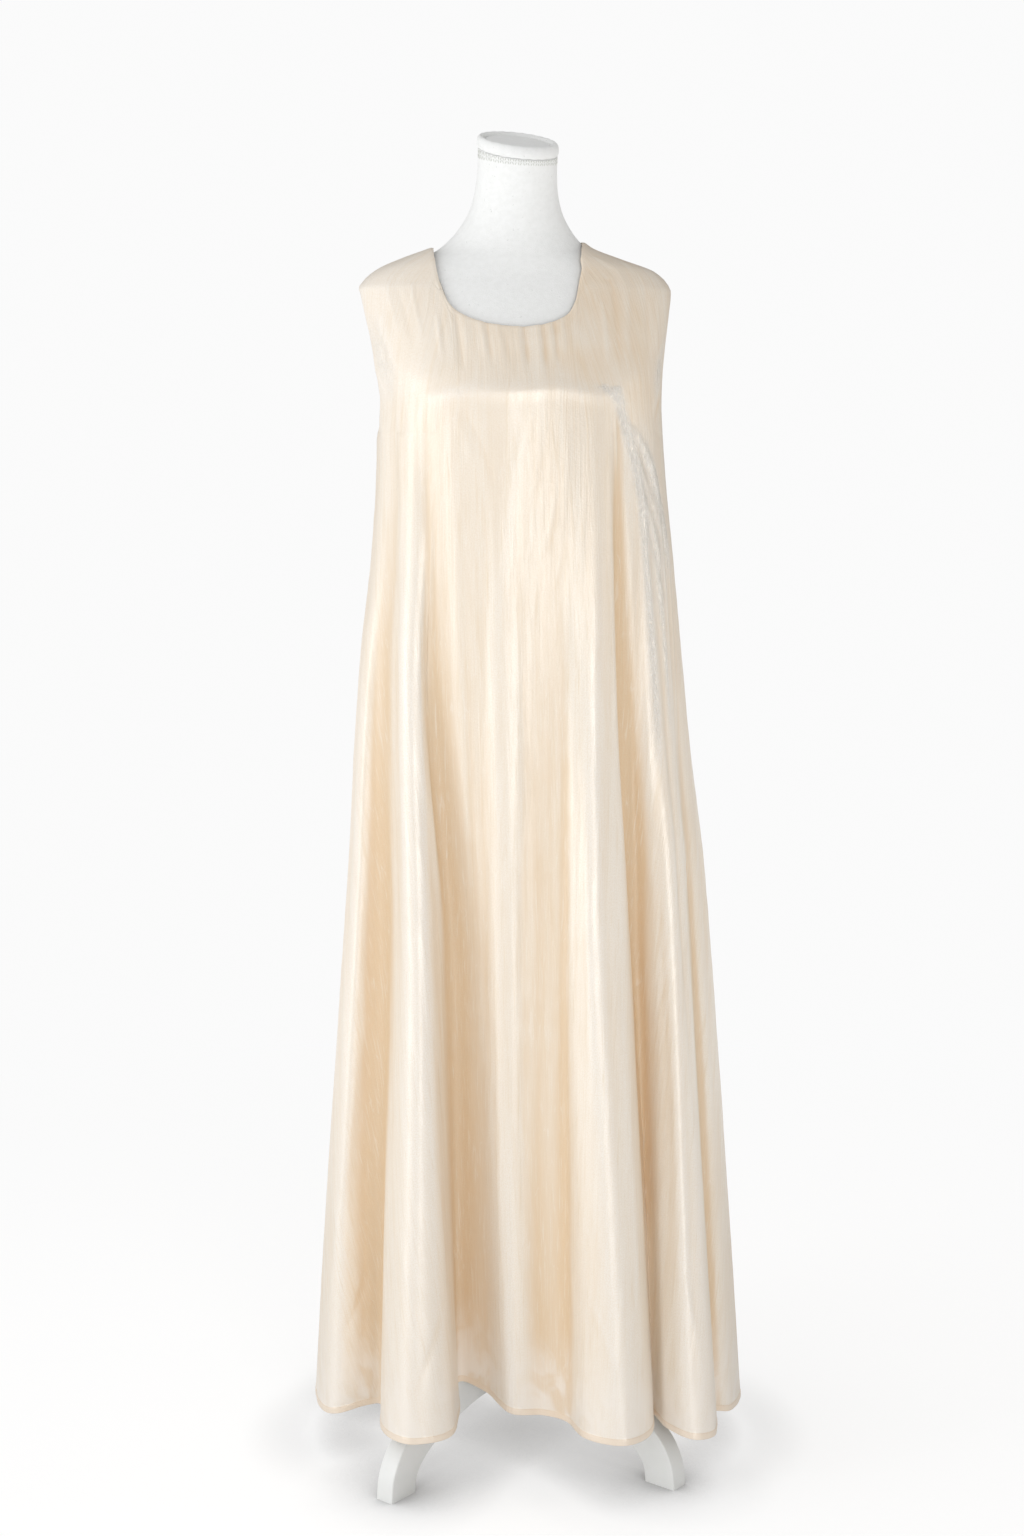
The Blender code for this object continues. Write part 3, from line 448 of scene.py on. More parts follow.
# ------------------------------------------------------------------ creases placed one by one
# A crease runs from fold number u_top at z_top down to u_low at z_low, bent sideways by bow fold
# numbers at its middle.  Width is its half width and rise its height (a trough is negative), in
# millimetres.  "start" 1 begins at full height, as under a seam or edge; 0 rises from nothing.
CREASE_COLUMNS = ("name", "u_top", "z_top", "u_low", "z_low", "bow", "width", "rise", "start")
FRONT_CREASES = (
    # short gathers that hang from the neck edge
    ("gather_1", 10.62, 1.404, 10.55, 1.344, 0.02, 2.8, 0.86, 0),
    ("gather_1_side", 10.82, 1.400, 10.75, 1.352, 0.02, 2.6, -0.67, 0),
    ("gather_2", 11.08, 1.396, 11.10, 1.338, 0.02, 3.0, 1.44, 1),
    ("gather_2_side", 11.27, 1.394, 11.25, 1.330, 0.02, 3.0, -1.32, 1),
    ("gather_3", 11.52, 1.389, 11.46, 1.352, 0.01, 2.6, 0.77, 1),
    ("gather_4", 11.88, 1.387, 11.92, 1.346, 0.01, 2.8, 1.20, 1),
    ("gather_4_side", 12.03, 1.386, 12.06, 1.335, 0.02, 2.8, -1.20, 1),
    ("gather_5", 12.28, 1.384, 12.36, 1.330, 0.02, 2.6, 0.96, 1),
    ("gather_5_side", 12.43, 1.384, 12.50, 1.342, 0.00, 2.4, -0.77, 1),
    ("gather_6", 12.78, 1.383, 12.84, 1.322, -0.02, 2.6, 1.20, 1),
    ("gather_6_side", 12.92, 1.383, 12.98, 1.336, 0.00, 3.0, -1.20, 1),
    ("gather_7", 13.34, 1.384, 13.40, 1.318, 0.03, 3.2, 1.32, 1),
    ("gather_7_side", 13.52, 1.385, 13.56, 1.334, 0.01, 3.0, -1.20, 1),
    ("gather_8", 13.84, 1.387, 13.98, 1.336, 0.01, 2.8, 1.06, 1),
    ("gather_8_side", 14.02, 1.389, 14.14, 1.342, 0.01, 2.8, -0.86, 1),
    ("gather_9", 14.50, 1.393, 14.62, 1.350, 0.01, 3.0, 0.77, 1),
    ("gather_10", 15.40, 1.404, 15.62, 1.346, 0.05, 3.6, 0.67, 1),
    # soft drag lines of the upper chest
    ("chest_left_1", 7.20, 1.440, 8.60, 1.350, 0.10, 5.0, -0.7, 0),
    ("chest_left_2", 5.60, 1.446, 6.70, 1.372, 0.10, 4.0, 0.6, 0),
    ("chest_left_3", 3.10, 1.420, 5.20, 1.330, 0.20, 6.0, 0.9, 0),
    ("chest_left_4", 2.20, 1.398, 4.10, 1.322, 0.15, 4.0, -0.7, 0),
    ("chest_left_5", 9.20, 1.430, 9.60, 1.368, 0.05, 3.4, 0.6, 1),
    ("chest_right_1", 19.60, 1.462, 19.90, 1.330, -0.30, 6.0, 0.9, 1),
    ("chest_right_2", 18.20, 1.436, 18.90, 1.340, 0.10, 5.0, -0.7, 1),
    ("chest_right_3", 17.10, 1.408, 17.80, 1.336, 0.10, 4.0, 0.6, 1),
    ("chest_right_4", 20.90, 1.440, 21.60, 1.344, 0.10, 5.0, -0.6, 0),
    ("chest_right_5", 22.40, 1.430, 22.90, 1.352, 0.10, 4.0, 0.6, 0),
    ("arm_right_1", 24.70, 1.372, 23.60, 1.344, 0.00, 2.2, 0.9, 0),
    ("arm_right_2", 24.90, 1.356, 23.90, 1.330, 0.00, 2.0, -0.8, 0),
    ("arm_right_3", 25.20, 1.328, 22.60, 1.286, -0.20, 3.4, 0.9, 0),
    ("arm_right_4", 25.30, 1.310, 23.00, 1.270, -0.20, 3.0, -0.7, 0),
    ("arm_left_1", 0.80, 1.352, 2.60, 1.306, 0.20, 3.4, 0.8, 0),
    ("arm_left_2", 0.60, 1.326, 2.40, 1.278, 0.20, 3.0, -0.7, 0),
    ("arm_left_3", 0.50, 1.296, 2.90, 1.226, 0.20, 4.0, 0.7, 0),
    # drag lines that fall from the bust
    ("bust_left_strip", 4.40, 1.304, 5.10, 1.050, 0.50, 6.0, 1.6, 0),
    ("bust_left_side", 7.20, 1.304, 7.90, 1.120, 0.20, 6.0, -0.8, 0),
    ("v_left", 11.10, 1.292, 12.05, 1.192, 0.10, 5.0, -0.7, 0),
    ("v_left_lip", 10.80, 1.284, 11.80, 1.180, 0.10, 4.0, 0.4, 0),
    ("v_right", 12.95, 1.290, 12.35, 1.196, 0.05, 5.0, 0.6, 0),
    ("v_right_2", 13.70, 1.286, 12.95, 1.160, 0.05, 4.0, -0.5, 0),
    ("v_right_3", 14.80, 1.270, 13.90, 1.120, 0.10, 4.4, 0.6, 0),
    ("crescent_1", 13.90, 1.214, 13.10, 1.118, 0.22, 2.8, 0.48, 0),
    ("crescent_1_side", 14.10, 1.206, 13.30, 1.112, 0.22, 2.8, -0.36, 0),
    ("crescent_2", 14.20, 1.160, 13.72, 1.084, 0.16, 2.4, 0.45, 0),
    ("crescent_2_side", 14.36, 1.156, 13.86, 1.080, 0.16, 2.4, -0.36, 0),
    ("crescent_3", 12.40, 1.190, 12.30, 1.090, 0.10, 2.6, 0.33, 0),
    ("crescent_4", 12.95, 1.172, 12.62, 1.092, 0.10, 2.4, 0.36, 0),
    ("crescent_5", 13.20, 1.128, 12.90, 1.020, 0.12, 3.0, -0.33, 0),
    ("crescent_6", 11.60, 1.180, 11.90, 1.080, 0.05, 2.8, -0.24, 0),
    ("crescent_7", 15.60, 1.190, 15.10, 1.060, 0.15, 3.4, 0.24, 0),
    # the crinkled right fold's ridge and its puckers
    ("pucker_seam", 18.45, 1.298, 18.70, 1.200, 0.05, 1.8, 1.0, 0),
    ("fold_c_line", 18.60, 1.308, 21.20, 1.117, 0.45, 4.4, 1.1, 0),
    ("fold_c_outer", 19.90, 1.266, 24.10, 1.085, 1.30, 5.0, 1.2, 0),
    ("fold_c_line_side", 19.30, 1.300, 22.20, 1.120, 0.60, 5.0, -1.0, 0),
    ("fold_c_cross_1", 20.10, 1.268, 22.40, 1.216, -0.10, 2.0, 1.1, 0),
    ("fold_c_cross_2", 20.30, 1.248, 22.60, 1.184, -0.10, 1.9, -1.0, 0),
    ("fold_c_cross_3", 20.50, 1.232, 22.70, 1.156, -0.10, 2.0, 1.0, 0),
    ("fold_c_cross_4", 20.60, 1.208, 22.90, 1.132, -0.10, 2.2, -0.9, 0),
    ("fold_c_cross_5", 20.80, 1.190, 22.90, 1.098, -0.10, 2.2, 0.9, 0),
    ("fold_c_cross_6", 21.00, 1.160, 23.00, 1.062, -0.10, 2.4, -0.8, 0),
    ("right_side_1", 22.80, 1.190, 22.95, 0.930, 0.20, 3.6, 1.4, 0),
    ("right_side_2", 23.60, 1.210, 23.50, 0.960, -0.10, 3.2, -1.2, 0),
    ("right_side_3", 24.30, 1.180, 23.80, 0.860, 0.10, 3.4, 1.2, 0),
    ("slit_pucker", 23.15, 0.806, 23.85, 0.716, 0.12, 2.6, -3.0, 0),
    ("slit_lip", 22.90, 0.812, 23.50, 0.708, 0.10, 3.0, 1.6, 0),
    ("slit_tail", 23.85, 0.740, 24.20, 0.560, 0.05, 3.2, -1.2, 0),
    # the folds' beginnings, under the bust
    ("fold_a_start", 5.90, 1.318, 6.50, 0.600, 0.10, 13.0, 3.2, 0),
    ("valley_a_start", 8.80, 1.302, 10.10, 0.640, -0.30, 9.0, -6.0, 0),
    ("middle_left_swell", 10.70, 1.296, 10.90, 0.780, 0.00, 12.0, 2.2, 0),
    ("middle_left_dip", 11.75, 1.270, 11.60, 0.700, 0.00, 10.0, -2.6, 0),
    ("middle_right_dip", 14.50, 1.090, 14.35, 0.640, 0.00, 8.0, -1.8, 0),
    ("ridge_b_start", 16.60, 1.318, 15.90, 0.520, 0.00, 12.0, 3.4, 0),
    ("tan_valley_start", 18.95, 1.306, 19.00, 0.560, -0.50, 10.0, -9.5, 0),
    ("fold_c_start", 20.55, 1.286, 20.20, 0.600, 0.00, 8.0, 3.0, 0),
    ("fold_c_valley", 21.20, 1.180, 22.30, 0.420, 0.40, 8.0, -4.0, 0),
    # long soft lines of the skirt
    ("middle_line", 12.28, 1.110, 12.12, 0.210, 0.05, 5.4, 1.1, 0),
    ("middle_line_side", 12.60, 1.080, 12.50, 0.320, 0.05, 6.0, -0.9, 0),
    ("middle_line_top", 12.52, 1.110, 12.48, 0.740, 0.00, 7.0, 1.3, 0),
    ("middle_dip", 13.00, 1.060, 13.20, 0.260, 0.00, 9.0, -0.6, 0),
    ("middle_panel", 13.50, 0.860, 13.40, 0.040, 0.00, 18.0, 4.6, 0),
    ("valley_b_floor", 18.90, 0.520, 18.70, 0.030, 0.00, 12.0, 4.5, 0),
    ("fold_c_front", 20.30, 0.660, 19.90, 0.040, 0.00, 9.0, 3.0, 0),
    ("fold_c_back", 22.00, 0.780, 21.10, 0.040, 0.00, 10.0, -3.6, 0),
    ("middle_right", 13.90, 1.040, 13.90, 0.420, 0.10, 6.0, 0.9, 0),
    ("middle_right_2", 14.40, 0.900, 14.30, 0.180, 0.00, 7.0, -0.9, 0),
    ("valley_line_1", 10.90, 1.140, 10.80, 0.700, 0.10, 5.0, 0.9, 0),
    ("valley_line_2", 11.40, 1.020, 11.20, 0.420, 0.10, 5.0, -0.9, 0),
    ("valley_line_3", 11.70, 0.820, 11.60, 0.160, 0.10, 6.0, 0.9, 0),
    ("fold_a_line_1", 6.60, 0.980, 6.90, 0.360, 0.10, 6.0, -0.9, 0),
    ("fold_a_line_2", 7.60, 0.900, 7.70, 0.240, 0.10, 6.0, 0.9, 0),
    ("left_panel_1", 1.40, 1.060, 1.30, 0.640, 0.10, 6.0, 1.1, 0),
    ("left_panel_2", 2.20, 0.960, 1.70, 0.420, 0.10, 6.0, -1.0, 0),
    ("left_panel_3", 2.60, 0.560, 1.20, 0.160, 0.10, 6.0, 1.0, 0),
    ("left_panel_4", 0.60, 0.720, 1.90, 0.420, 0.10, 5.0, 0.8, 0),
    ("ridge_b_line_1", 15.70, 0.900, 15.60, 0.440, 0.10, 5.0, 1.1, 0),
    ("ridge_b_line_2", 16.40, 1.020, 16.60, 0.300, 0.10, 6.0, -0.9, 0),
    ("ridge_b_line_3", 17.20, 0.640, 17.00, 0.160, 0.10, 6.0, 0.9, 0),
    ("fold_c_long_1", 21.20, 0.980, 21.40, 0.420, 0.10, 4.4, 1.1, 0),
    ("fold_c_long_2", 20.40, 0.800, 20.60, 0.200, 0.10, 5.0, -0.9, 0),
    ("fold_c_long_3", 22.20, 0.860, 22.10, 0.180, 0.10, 5.0, -1.0, 0),
    ("right_panel_1", 24.60, 0.760, 24.80, 0.300, 0.10, 4.4, 1.2, 0),
    ("right_panel_2", 25.30, 0.920, 25.10, 0.420, 0.10, 4.4, -1.0, 0),
    # slanting marks above the hem
    ("hem_slant_1", 1.20, 0.330, 2.80, 0.210, 0.10, 3.6, 0.9, 0),
    ("hem_slant_2", 3.20, 0.260, 1.90, 0.140, 0.10, 3.6, -0.8, 0),
    ("hem_slant_3", 6.00, 0.330, 6.90, 0.180, 0.10, 4.0, 0.9, 0),
    ("hem_slant_4", 8.10, 0.260, 6.60, 0.130, 0.10, 4.0, -0.9, 0),
    ("hem_slant_5", 15.10, 0.280, 16.10, 0.150, 0.10, 4.0, 0.9, 0),
    ("hem_slant_6", 17.30, 0.330, 16.30, 0.180, 0.10, 4.0, 0.8, 0),
    ("hem_slant_7", 20.60, 0.300, 21.60, 0.150, 0.10, 3.6, 0.9, 0),
    ("hem_slant_8", 24.90, 0.330, 24.10, 0.190, 0.10, 3.6, -0.9, 0),
)
BACK_CREASES = (
    ("yoke_1", 32.60, 1.440, 33.00, 1.330, 0.10, 5.0, 0.9, 1),
    ("yoke_2", 33.80, 1.440, 34.10, 1.300, 0.10, 5.0, -0.9, 1),
    ("yoke_3", 35.10, 1.452, 35.20, 1.340, -0.10, 4.4, 1.0, 1),
    ("yoke_4", 36.40, 1.456, 36.30, 1.360, 0.00, 4.0, -0.8, 1),
    ("yoke_5", 38.10, 1.454, 37.80, 1.320, 0.10, 5.0, 1.0, 1),
    ("yoke_6", 39.60, 1.450, 39.20, 1.340, -0.10, 4.4, -0.8, 1),
    ("yoke_7", 41.20, 1.440, 40.60, 1.310, 0.10, 5.0, 0.9, 1),
    ("blade_right_1", 27.40, 1.360, 30.60, 1.290, 0.20, 4.0, 0.9, 0),
    ("blade_right_2", 27.20, 1.326, 30.20, 1.250, 0.20, 4.0, -0.8, 0),
    ("blade_right_3", 27.10, 1.290, 29.60, 1.200, 0.20, 4.0, 0.8, 0),
    ("blade_left_1", 47.60, 1.350, 44.60, 1.280, -0.20, 4.0, 0.9, 0),
    ("blade_left_2", 47.90, 1.316, 45.10, 1.240, -0.20, 4.0, -0.8, 0),
    ("blade_left_3", 48.00, 1.280, 45.70, 1.190, -0.20, 4.0, 0.8, 0),
    ("drag_1", 31.60, 1.290, 31.90, 1.060, 0.10, 5.0, 1.2, 0),
    ("drag_2", 33.20, 1.270, 33.10, 1.000, 0.10, 5.0, -1.1, 0),
    ("drag_3", 34.90, 1.260, 35.10, 0.940, 0.10, 5.0, 1.0, 0),
    ("drag_4", 37.60, 1.280, 37.20, 1.020, 0.10, 5.0, -1.2, 0),
    ("drag_5", 39.60, 1.250, 39.70, 0.980, 0.10, 5.0, 1.1, 0),
    ("drag_6", 42.10, 1.260, 42.30, 1.000, 0.10, 5.0, -1.0, 0),
    ("crescent_b1", 35.80, 1.180, 35.20, 1.080, 0.20, 2.8, 0.78, 0),
    ("crescent_b2", 37.40, 1.140, 37.90, 1.030, -0.20, 2.6, 0.78, 0),
    ("crescent_b3", 33.90, 1.120, 34.30, 1.010, -0.15, 2.8, -0.66, 0),
    ("crescent_b4", 40.60, 1.150, 40.20, 1.050, 0.15, 2.8, 0.66, 0),
    ("long_b1", 28.40, 1.060, 28.30, 0.360, 0.10, 5.0, 1.1, 0),
    ("long_b2", 30.30, 0.940, 30.20, 0.260, 0.10, 6.0, -1.0, 0),
    ("long_b3", 32.30, 0.820, 32.60, 0.200, 0.10, 6.0, 1.0, 0),
    ("long_b4", 35.30, 0.900, 35.20, 0.240, 0.10, 6.0, -1.0, 0),
    ("long_b5", 38.20, 0.980, 38.10, 0.300, 0.10, 6.0, 1.0, 0),
    ("long_b6", 41.30, 0.900, 41.20, 0.220, 0.10, 6.0, -1.0, 0),
    ("long_b7", 43.80, 0.960, 43.90, 0.300, 0.10, 5.0, 1.0, 0),
    ("long_b8", 46.60, 1.060, 46.40, 0.420, 0.10, 5.0, -1.1, 0),
    ("slant_b1", 29.20, 0.300, 30.20, 0.160, 0.10, 3.8, 0.9, 0),
    ("slant_b2", 33.60, 0.320, 32.60, 0.170, 0.10, 3.8, -0.9, 0),
    ("slant_b3", 38.80, 0.300, 39.80, 0.160, 0.10, 3.8, 0.9, 0),
    ("slant_b4", 43.20, 0.330, 42.40, 0.180, 0.10, 3.8, 0.9, 0),
    ("slant_b5", 46.20, 0.300, 47.00, 0.170, 0.10, 3.8, -0.9, 0),
)


# Patches where the cloth is crushed into fine lines, with the same columns (rise 1 is full); there the colour is
# paled towards white as painted glints.
FRONT_CRINKLE_AND_GLINT = (
    ("bust_end", 17.20, 1.312, 19.40, 1.292, 0.00, 5.0, 0.8, 1),
    ("fold_c_strand", 18.60, 1.310, 21.20, 1.117, 0.45, 6.5, 1.2, 1),
    ("fold_c_strand_low", 20.30, 1.240, 21.00, 0.860, 0.15, 5.0, 1.0, 0),
    ("fold_c_strand_side", 19.60, 1.275, 24.10, 1.085, 1.30, 8.0, 1.1, 0),
    ("fold_c_fuzz", 20.10, 1.275, 22.80, 1.030, 0.60, 20.0, 0.45, 0),
    ("fold_c_edge", 21.60, 1.160, 22.60, 0.900, 0.10, 4.0, 0.7, 0),
    ("armhole_right", 24.60, 1.370, 23.60, 1.300, 0.00, 9.0, 0.5, 0),
    ("chest_left", 2.60, 1.400, 3.60, 1.290, 0.00, 16.0, 0.3, 0),
)
# Painted shade: deep folds where the satin's colour is darkened further, with the same columns (rise 1 is full).
FRONT_PAINTED_SHADE = (
    ("tan_fold", 18.15, 1.240, 19.10, 0.700, -0.25, 15.0, 0.60, 0),
    ("tan_fold_low", 19.10, 0.900, 17.60, 0.120, 0.35, 15.0, 0.50, 0),
    ("right_fold", 21.20, 1.000, 21.10, 0.300, 0.00, 11.0, 0.45, 0),
    ("right_edge", 23.40, 0.760, 23.20, 0.160, 0.00, 11.0, 0.30, 0),
)
BACK_PAINTED_SHADE = ()
BACK_CRINKLE_AND_GLINT = (
    ("blade_right", 28.80, 1.330, 29.60, 1.150, 0.30, 8.0, 0.5, 0),
    ("blade_left", 46.00, 1.310, 45.40, 1.140, -0.30, 8.0, 0.5, 0),
)


def crease_height(us, s, z, table, back):
    """Sum of the creases' heights over a panel, in metres."""
    total = np.zeros_like(s)
    turns = turn_of(us)[None, :] + armhole_scoop(turn_of(us)[None, :], z, back)
    for name, u_top, z_top, u_low, z_low, bow, width, rise, start in table:
        t = np.clip((z_top - z) / (z_top - z_low), 0.0, 1.0)
        path = u_top + (u_low - u_top) * t + bow * 4 * t * (1 - t)
        live = np.nonzero(((z < z_top + 0.01) & (z > z_low - 0.01)).any(axis=1))[0]
        if not len(live):
            continue
        s_path = np.zeros_like(s)
        for r in live:
            s_path[r] = np.interp(turn_of(path[r]), turns[r], s[r])
        top_row = int(np.argmin(np.abs(z[:, np.argmin(np.abs(us - u_top))] - z_top)))
        low_row = int(np.argmin(np.abs(z[:, np.argmin(np.abs(us - u_low))] - z_low)))
        run = np.interp(u_low, us, s[low_row]) - np.interp(u_top, us, s[top_row])
        lean = (z_top - z_low) / math.hypot(run, z_top - z_low)
        fade = np.sin(math.pi * t) ** 0.8
        if start:
            fade = np.where(t < 0.5, 1.0 - 0.25 * (1 - 2 * t) ** 2, fade)
            fade = np.where((z > z_top + 0.002), 0.0, fade)
        else:
            fade = np.where((t <= 0) | (t >= 1), 0.0, fade)
        q = (s - s_path) * lean / (width * 0.001)
        mask = np.zeros_like(s)
        mask[live] = 1.0
        total += mask * fade * rise * 0.001 * np.exp(-np.minimum(q * q, 40.0))
    return total


# ------------------------------------------------------------------ materials
def node_material(name):
    mat = bpy.data.materials.new(name)
    mat.use_nodes = True
    tree = mat.node_tree
    return mat, tree, tree.nodes["Principled BSDF"]


def mapped(tree, source, scale, location=(0.0, 0.0, 0.0)):
    node = tree.nodes.new("ShaderNodeMapping")
    node.inputs["Scale"].default_value = scale
    node.inputs["Location"].default_value = location
    tree.links.new(source, node.inputs["Vector"])
    return node.outputs["Vector"]


def noise(tree, vector, scale, detail=3.0, roughness=0.55, distortion=0.0):
    node = tree.nodes.new("ShaderNodeTexNoise")
    node.inputs["Scale"].default_value = scale
    node.inputs["Detail"].default_value = detail
    node.inputs["Roughness"].default_value = roughness
    node.inputs["Distortion"].default_value = distortion
    tree.links.new(vector, node.inputs["Vector"])
    return node.outputs["Fac"]


def spread(tree, value, low, high, to_low, to_high):
    node = tree.nodes.new("ShaderNodeMapRange")
    node.interpolation_type = "SMOOTHSTEP"
    node.inputs["From Min"].default_value = low
    node.inputs["From Max"].default_value = high
    node.inputs["To Min"].default_value = to_low
    node.inputs["To Max"].default_value = to_high
    tree.links.new(value, node.inputs["Value"])
    return node.outputs["Result"]


def arithmetic(tree, operation, a, b):
    node = tree.nodes.new("ShaderNodeMath")
    node.operation = operation
    for k, value in ((0, a), (1, b)):
        if isinstance(value, (int, float)):
            node.inputs[k].default_value = value
        else:
            tree.links.new(value, node.inputs[k])
    return node.outputs["Value"]


def blend_colours(tree, factor, a, b):
    node = tree.nodes.new("ShaderNodeMix")
    node.data_type = "RGBA"
    if isinstance(factor, float):
        node.inputs["Factor"].default_value = factor
    else:
        tree.links.new(factor, node.inputs["Factor"])
    for socket, value in ((node.inputs[6], a), (node.inputs[7], b)):
        if isinstance(value, tuple):
            socket.default_value = (*value, 1.0)
        else:
            tree.links.new(value, socket)
    return node.outputs[2]


SATIN_MID = (0.872, 0.760, 0.628)
SATIN_PALE = (0.918, 0.842, 0.740)
SATIN_DEEP = (0.805, 0.665, 0.490)
# The next two colours are painted highlight: near-white painted glints on thin lines and on the crushed places.
SATIN_PAINTED_GLINT_LINE = (0.970, 0.925, 0.865)
SATIN_PAINTED_GLINT = (0.990, 0.968, 0.925)
# The next colour is painted light: paler satin near the hem, where light shows through the half see-through cloth.
SATIN_SHEER_PAINTED_LIGHT = (0.930, 0.860, 0.780)
SATIN_HEM = (0.865, 0.715, 0.560)
# The next two colours are painted shade in the folds' valleys and painted highlight on their crests.
SATIN_PAINTED_SHADE = (0.775, 0.575, 0.370)
SATIN_PAINTED_HIGHLIGHT = (0.942, 0.888, 0.822)


def satin_material():
    """Crinkled satin: soft streaks run down the cloth, crushed finer in places. Its colour carries painted light: the
    folds' valleys are darkened as painted shade and their crests paled as painted highlight, thin lines and the
    crushed places are paled towards white as painted glints, and the lowest part above the hem, which is half
    see-through, is paled in patches as painted light showing through the thin cloth."""
    mat, tree, shader = node_material("champagne_satin")
    uv = tree.nodes.new("ShaderNodeUVMap")
    uv.uv_map = "cloth"
    grain = uv.outputs["UV"]
    split = tree.nodes.new("ShaderNodeSeparateXYZ")
    tree.links.new(grain, split.inputs["Vector"])
    from_hem = split.outputs["Y"]
    crushed_and_painted_glint = tree.nodes.new("ShaderNodeAttribute")
    crushed_and_painted_glint.attribute_name = "crinkle_and_painted_glint"
    crushed_and_painted_glint = crushed_and_painted_glint.outputs["Fac"]
    painted_shading_fac = tree.nodes.new("ShaderNodeAttribute")
    painted_shading_fac.attribute_name = "painted_shading"
    painted_shading_fac = painted_shading_fac.outputs["Fac"]

    def ridges(value, low):
        away = arithmetic(tree, "ABSOLUTE", arithmetic(tree, "SUBTRACT", value, 0.5), 0.0)
        return spread(tree, away, 0.0, low, 1.0, 0.0)

    broad = noise(tree, mapped(tree, grain, (30.0, 3.6, 1.0)), 1.0, 3.0, 0.55, 0.6)
    streak = noise(tree, mapped(tree, grain, (135.0, 7.5, 1.0), (3.0, 1.0, 0.0)), 1.0, 4.0, 0.6, 1.0)
    fine = noise(tree, mapped(tree, grain, (480.0, 20.0, 1.0), (7.0, 2.0, 0.0)), 1.0, 3.0, 0.6, 0.8)
    cross = noise(tree, mapped(tree, grain, (95.0, 150.0, 1.0), (1.0, 5.0, 0.0)), 1.0, 4.0, 0.62, 1.4)
    paths = noise(tree, mapped(tree, grain, (150.0, 17.0, 1.0), (5.0, 3.0, 0.0)), 1.0, 1.0, 0.5, 0.9)
    some = noise(tree, mapped(tree, grain, (40.0, 22.0, 1.0), (6.0, 8.0, 0.0)), 1.0, 1.0, 0.5, 0.4)
    lines = arithmetic(tree, "MULTIPLY", ridges(paths, 0.034), spread(tree, some, 0.52, 0.66, 0.0, 1.0))
    knots = noise(tree, mapped(tree, grain, (330.0, 95.0, 1.0), (2.0, 4.0, 0.0)), 1.0, 3.0, 0.65, 1.6)
    crush_and_painted_glint = arithmetic(tree, "MULTIPLY", ridges(knots, 0.085), crushed_and_painted_glint)

    colour = blend_colours(tree, spread(tree, broad, 0.32, 0.70, 0.0, 1.0), SATIN_MID, SATIN_PALE)
    colour = blend_colours(tree, spread(tree, streak, 0.48, 0.74, 0.0, 0.55), colour, SATIN_DEEP)
    # Painted shade: the folds' valleys are darkened towards a deeper tan; painted highlight: their crests are paled.
    colour = blend_colours(tree, spread(tree, painted_shading_fac, 0.0, 1.0, 0.0, 1.0), colour, SATIN_PAINTED_SHADE)
    colour = blend_colours(tree, spread(tree, painted_shading_fac, -1.0, 0.0, 0.8, 0.0), colour, SATIN_PAINTED_HIGHLIGHT)
    colour = blend_colours(tree, spread(tree, fine, 0.52, 0.74, 0.0, 0.50), colour, SATIN_PALE)
    colour = blend_colours(tree, spread(tree, fine, 0.26, 0.48, 0.40, 0.0), colour, SATIN_DEEP)
    # Painted highlight: thin lines and the crushed places are paled towards white as painted glints; the crush is
    # also a real bump below.
    colour = blend_colours(tree, arithmetic(tree, "MULTIPLY", lines, 0.22), colour, SATIN_PAINTED_GLINT_LINE)
    colour = blend_colours(tree, arithmetic(tree, "MULTIPLY", crushed_and_painted_glint, 0.55), colour, SATIN_PAINTED_GLINT_LINE)
    colour = blend_colours(tree, arithmetic(tree, "MULTIPLY", crush_and_painted_glint, 0.90), colour, SATIN_PAINTED_GLINT)
    weave = noise(tree, mapped(tree, grain, (760.0, 560.0, 1.0), (9.0, 6.0, 0.0)), 1.0, 2.0, 0.6, 0.3)
    colour = blend_colours(tree, spread(tree, weave, 0.34, 0.62, 0.34, 0.0), colour, SATIN_DEEP)
    patch = noise(tree, mapped(tree, grain, (26.0, 17.0, 1.0), (2.0, 9.0, 0.0)), 1.0, 2.0, 0.5, 1.2)
    # Painted light: near the hem the colour is paled in patches, as light showing through the thin cloth.
    near_hem = spread(tree, from_hem, 0.010, 0.125, 0.85, 0.0)
    sheer_painted_light = arithmetic(tree, "MULTIPLY", near_hem, spread(tree, patch, 0.36, 0.62, 0.35, 1.0))
    colour = blend_colours(tree, sheer_painted_light, colour, SATIN_SHEER_PAINTED_LIGHT)
    band = spread(tree, from_hem, HEM_BAND - 0.0006, HEM_BAND + 0.0006, 0.75, 0.0)
    colour = blend_colours(tree, band, colour, SATIN_HEM)
    tree.links.new(colour, shader.inputs["Base Color"])

    smoother = arithmetic(tree, "SUBTRACT", 1.0, arithmetic(tree, "MULTIPLY", crushed_and_painted_glint, 0.45))
    rough = arithmetic(tree, "MULTIPLY", spread(tree, streak, 0.30, 0.72, 0.32, 0.44), smoother)
    tree.links.new(rough, shader.inputs["Roughness"])
    shader.inputs["IOR"].default_value = 1.80
    # The painted shading also lowers the gloss in the valleys, as painted shade on the reflection.
    gloss = arithmetic(tree, "ADD", spread(tree, painted_shading_fac, -0.3, 0.8, 0.92, 0.25), arithmetic(tree, "MULTIPLY", crushed_and_painted_glint, 0.90))
    tree.links.new(gloss, shader.inputs["Specular IOR Level"])
    shader.inputs["Specular Tint"].default_value = (1.0, 0.95, 0.88, 1.0)
    fuzz = arithmetic(tree, "ADD", arithmetic(tree, "MULTIPLY", crushed_and_painted_glint, 0.90), 0.05)
    tree.links.new(fuzz, shader.inputs["Sheen Weight"])
    shader.inputs["Sheen Roughness"].default_value = 0.40
    shader.inputs["Sheen Tint"].default_value = (1.0, 0.95, 0.86, 1.0)

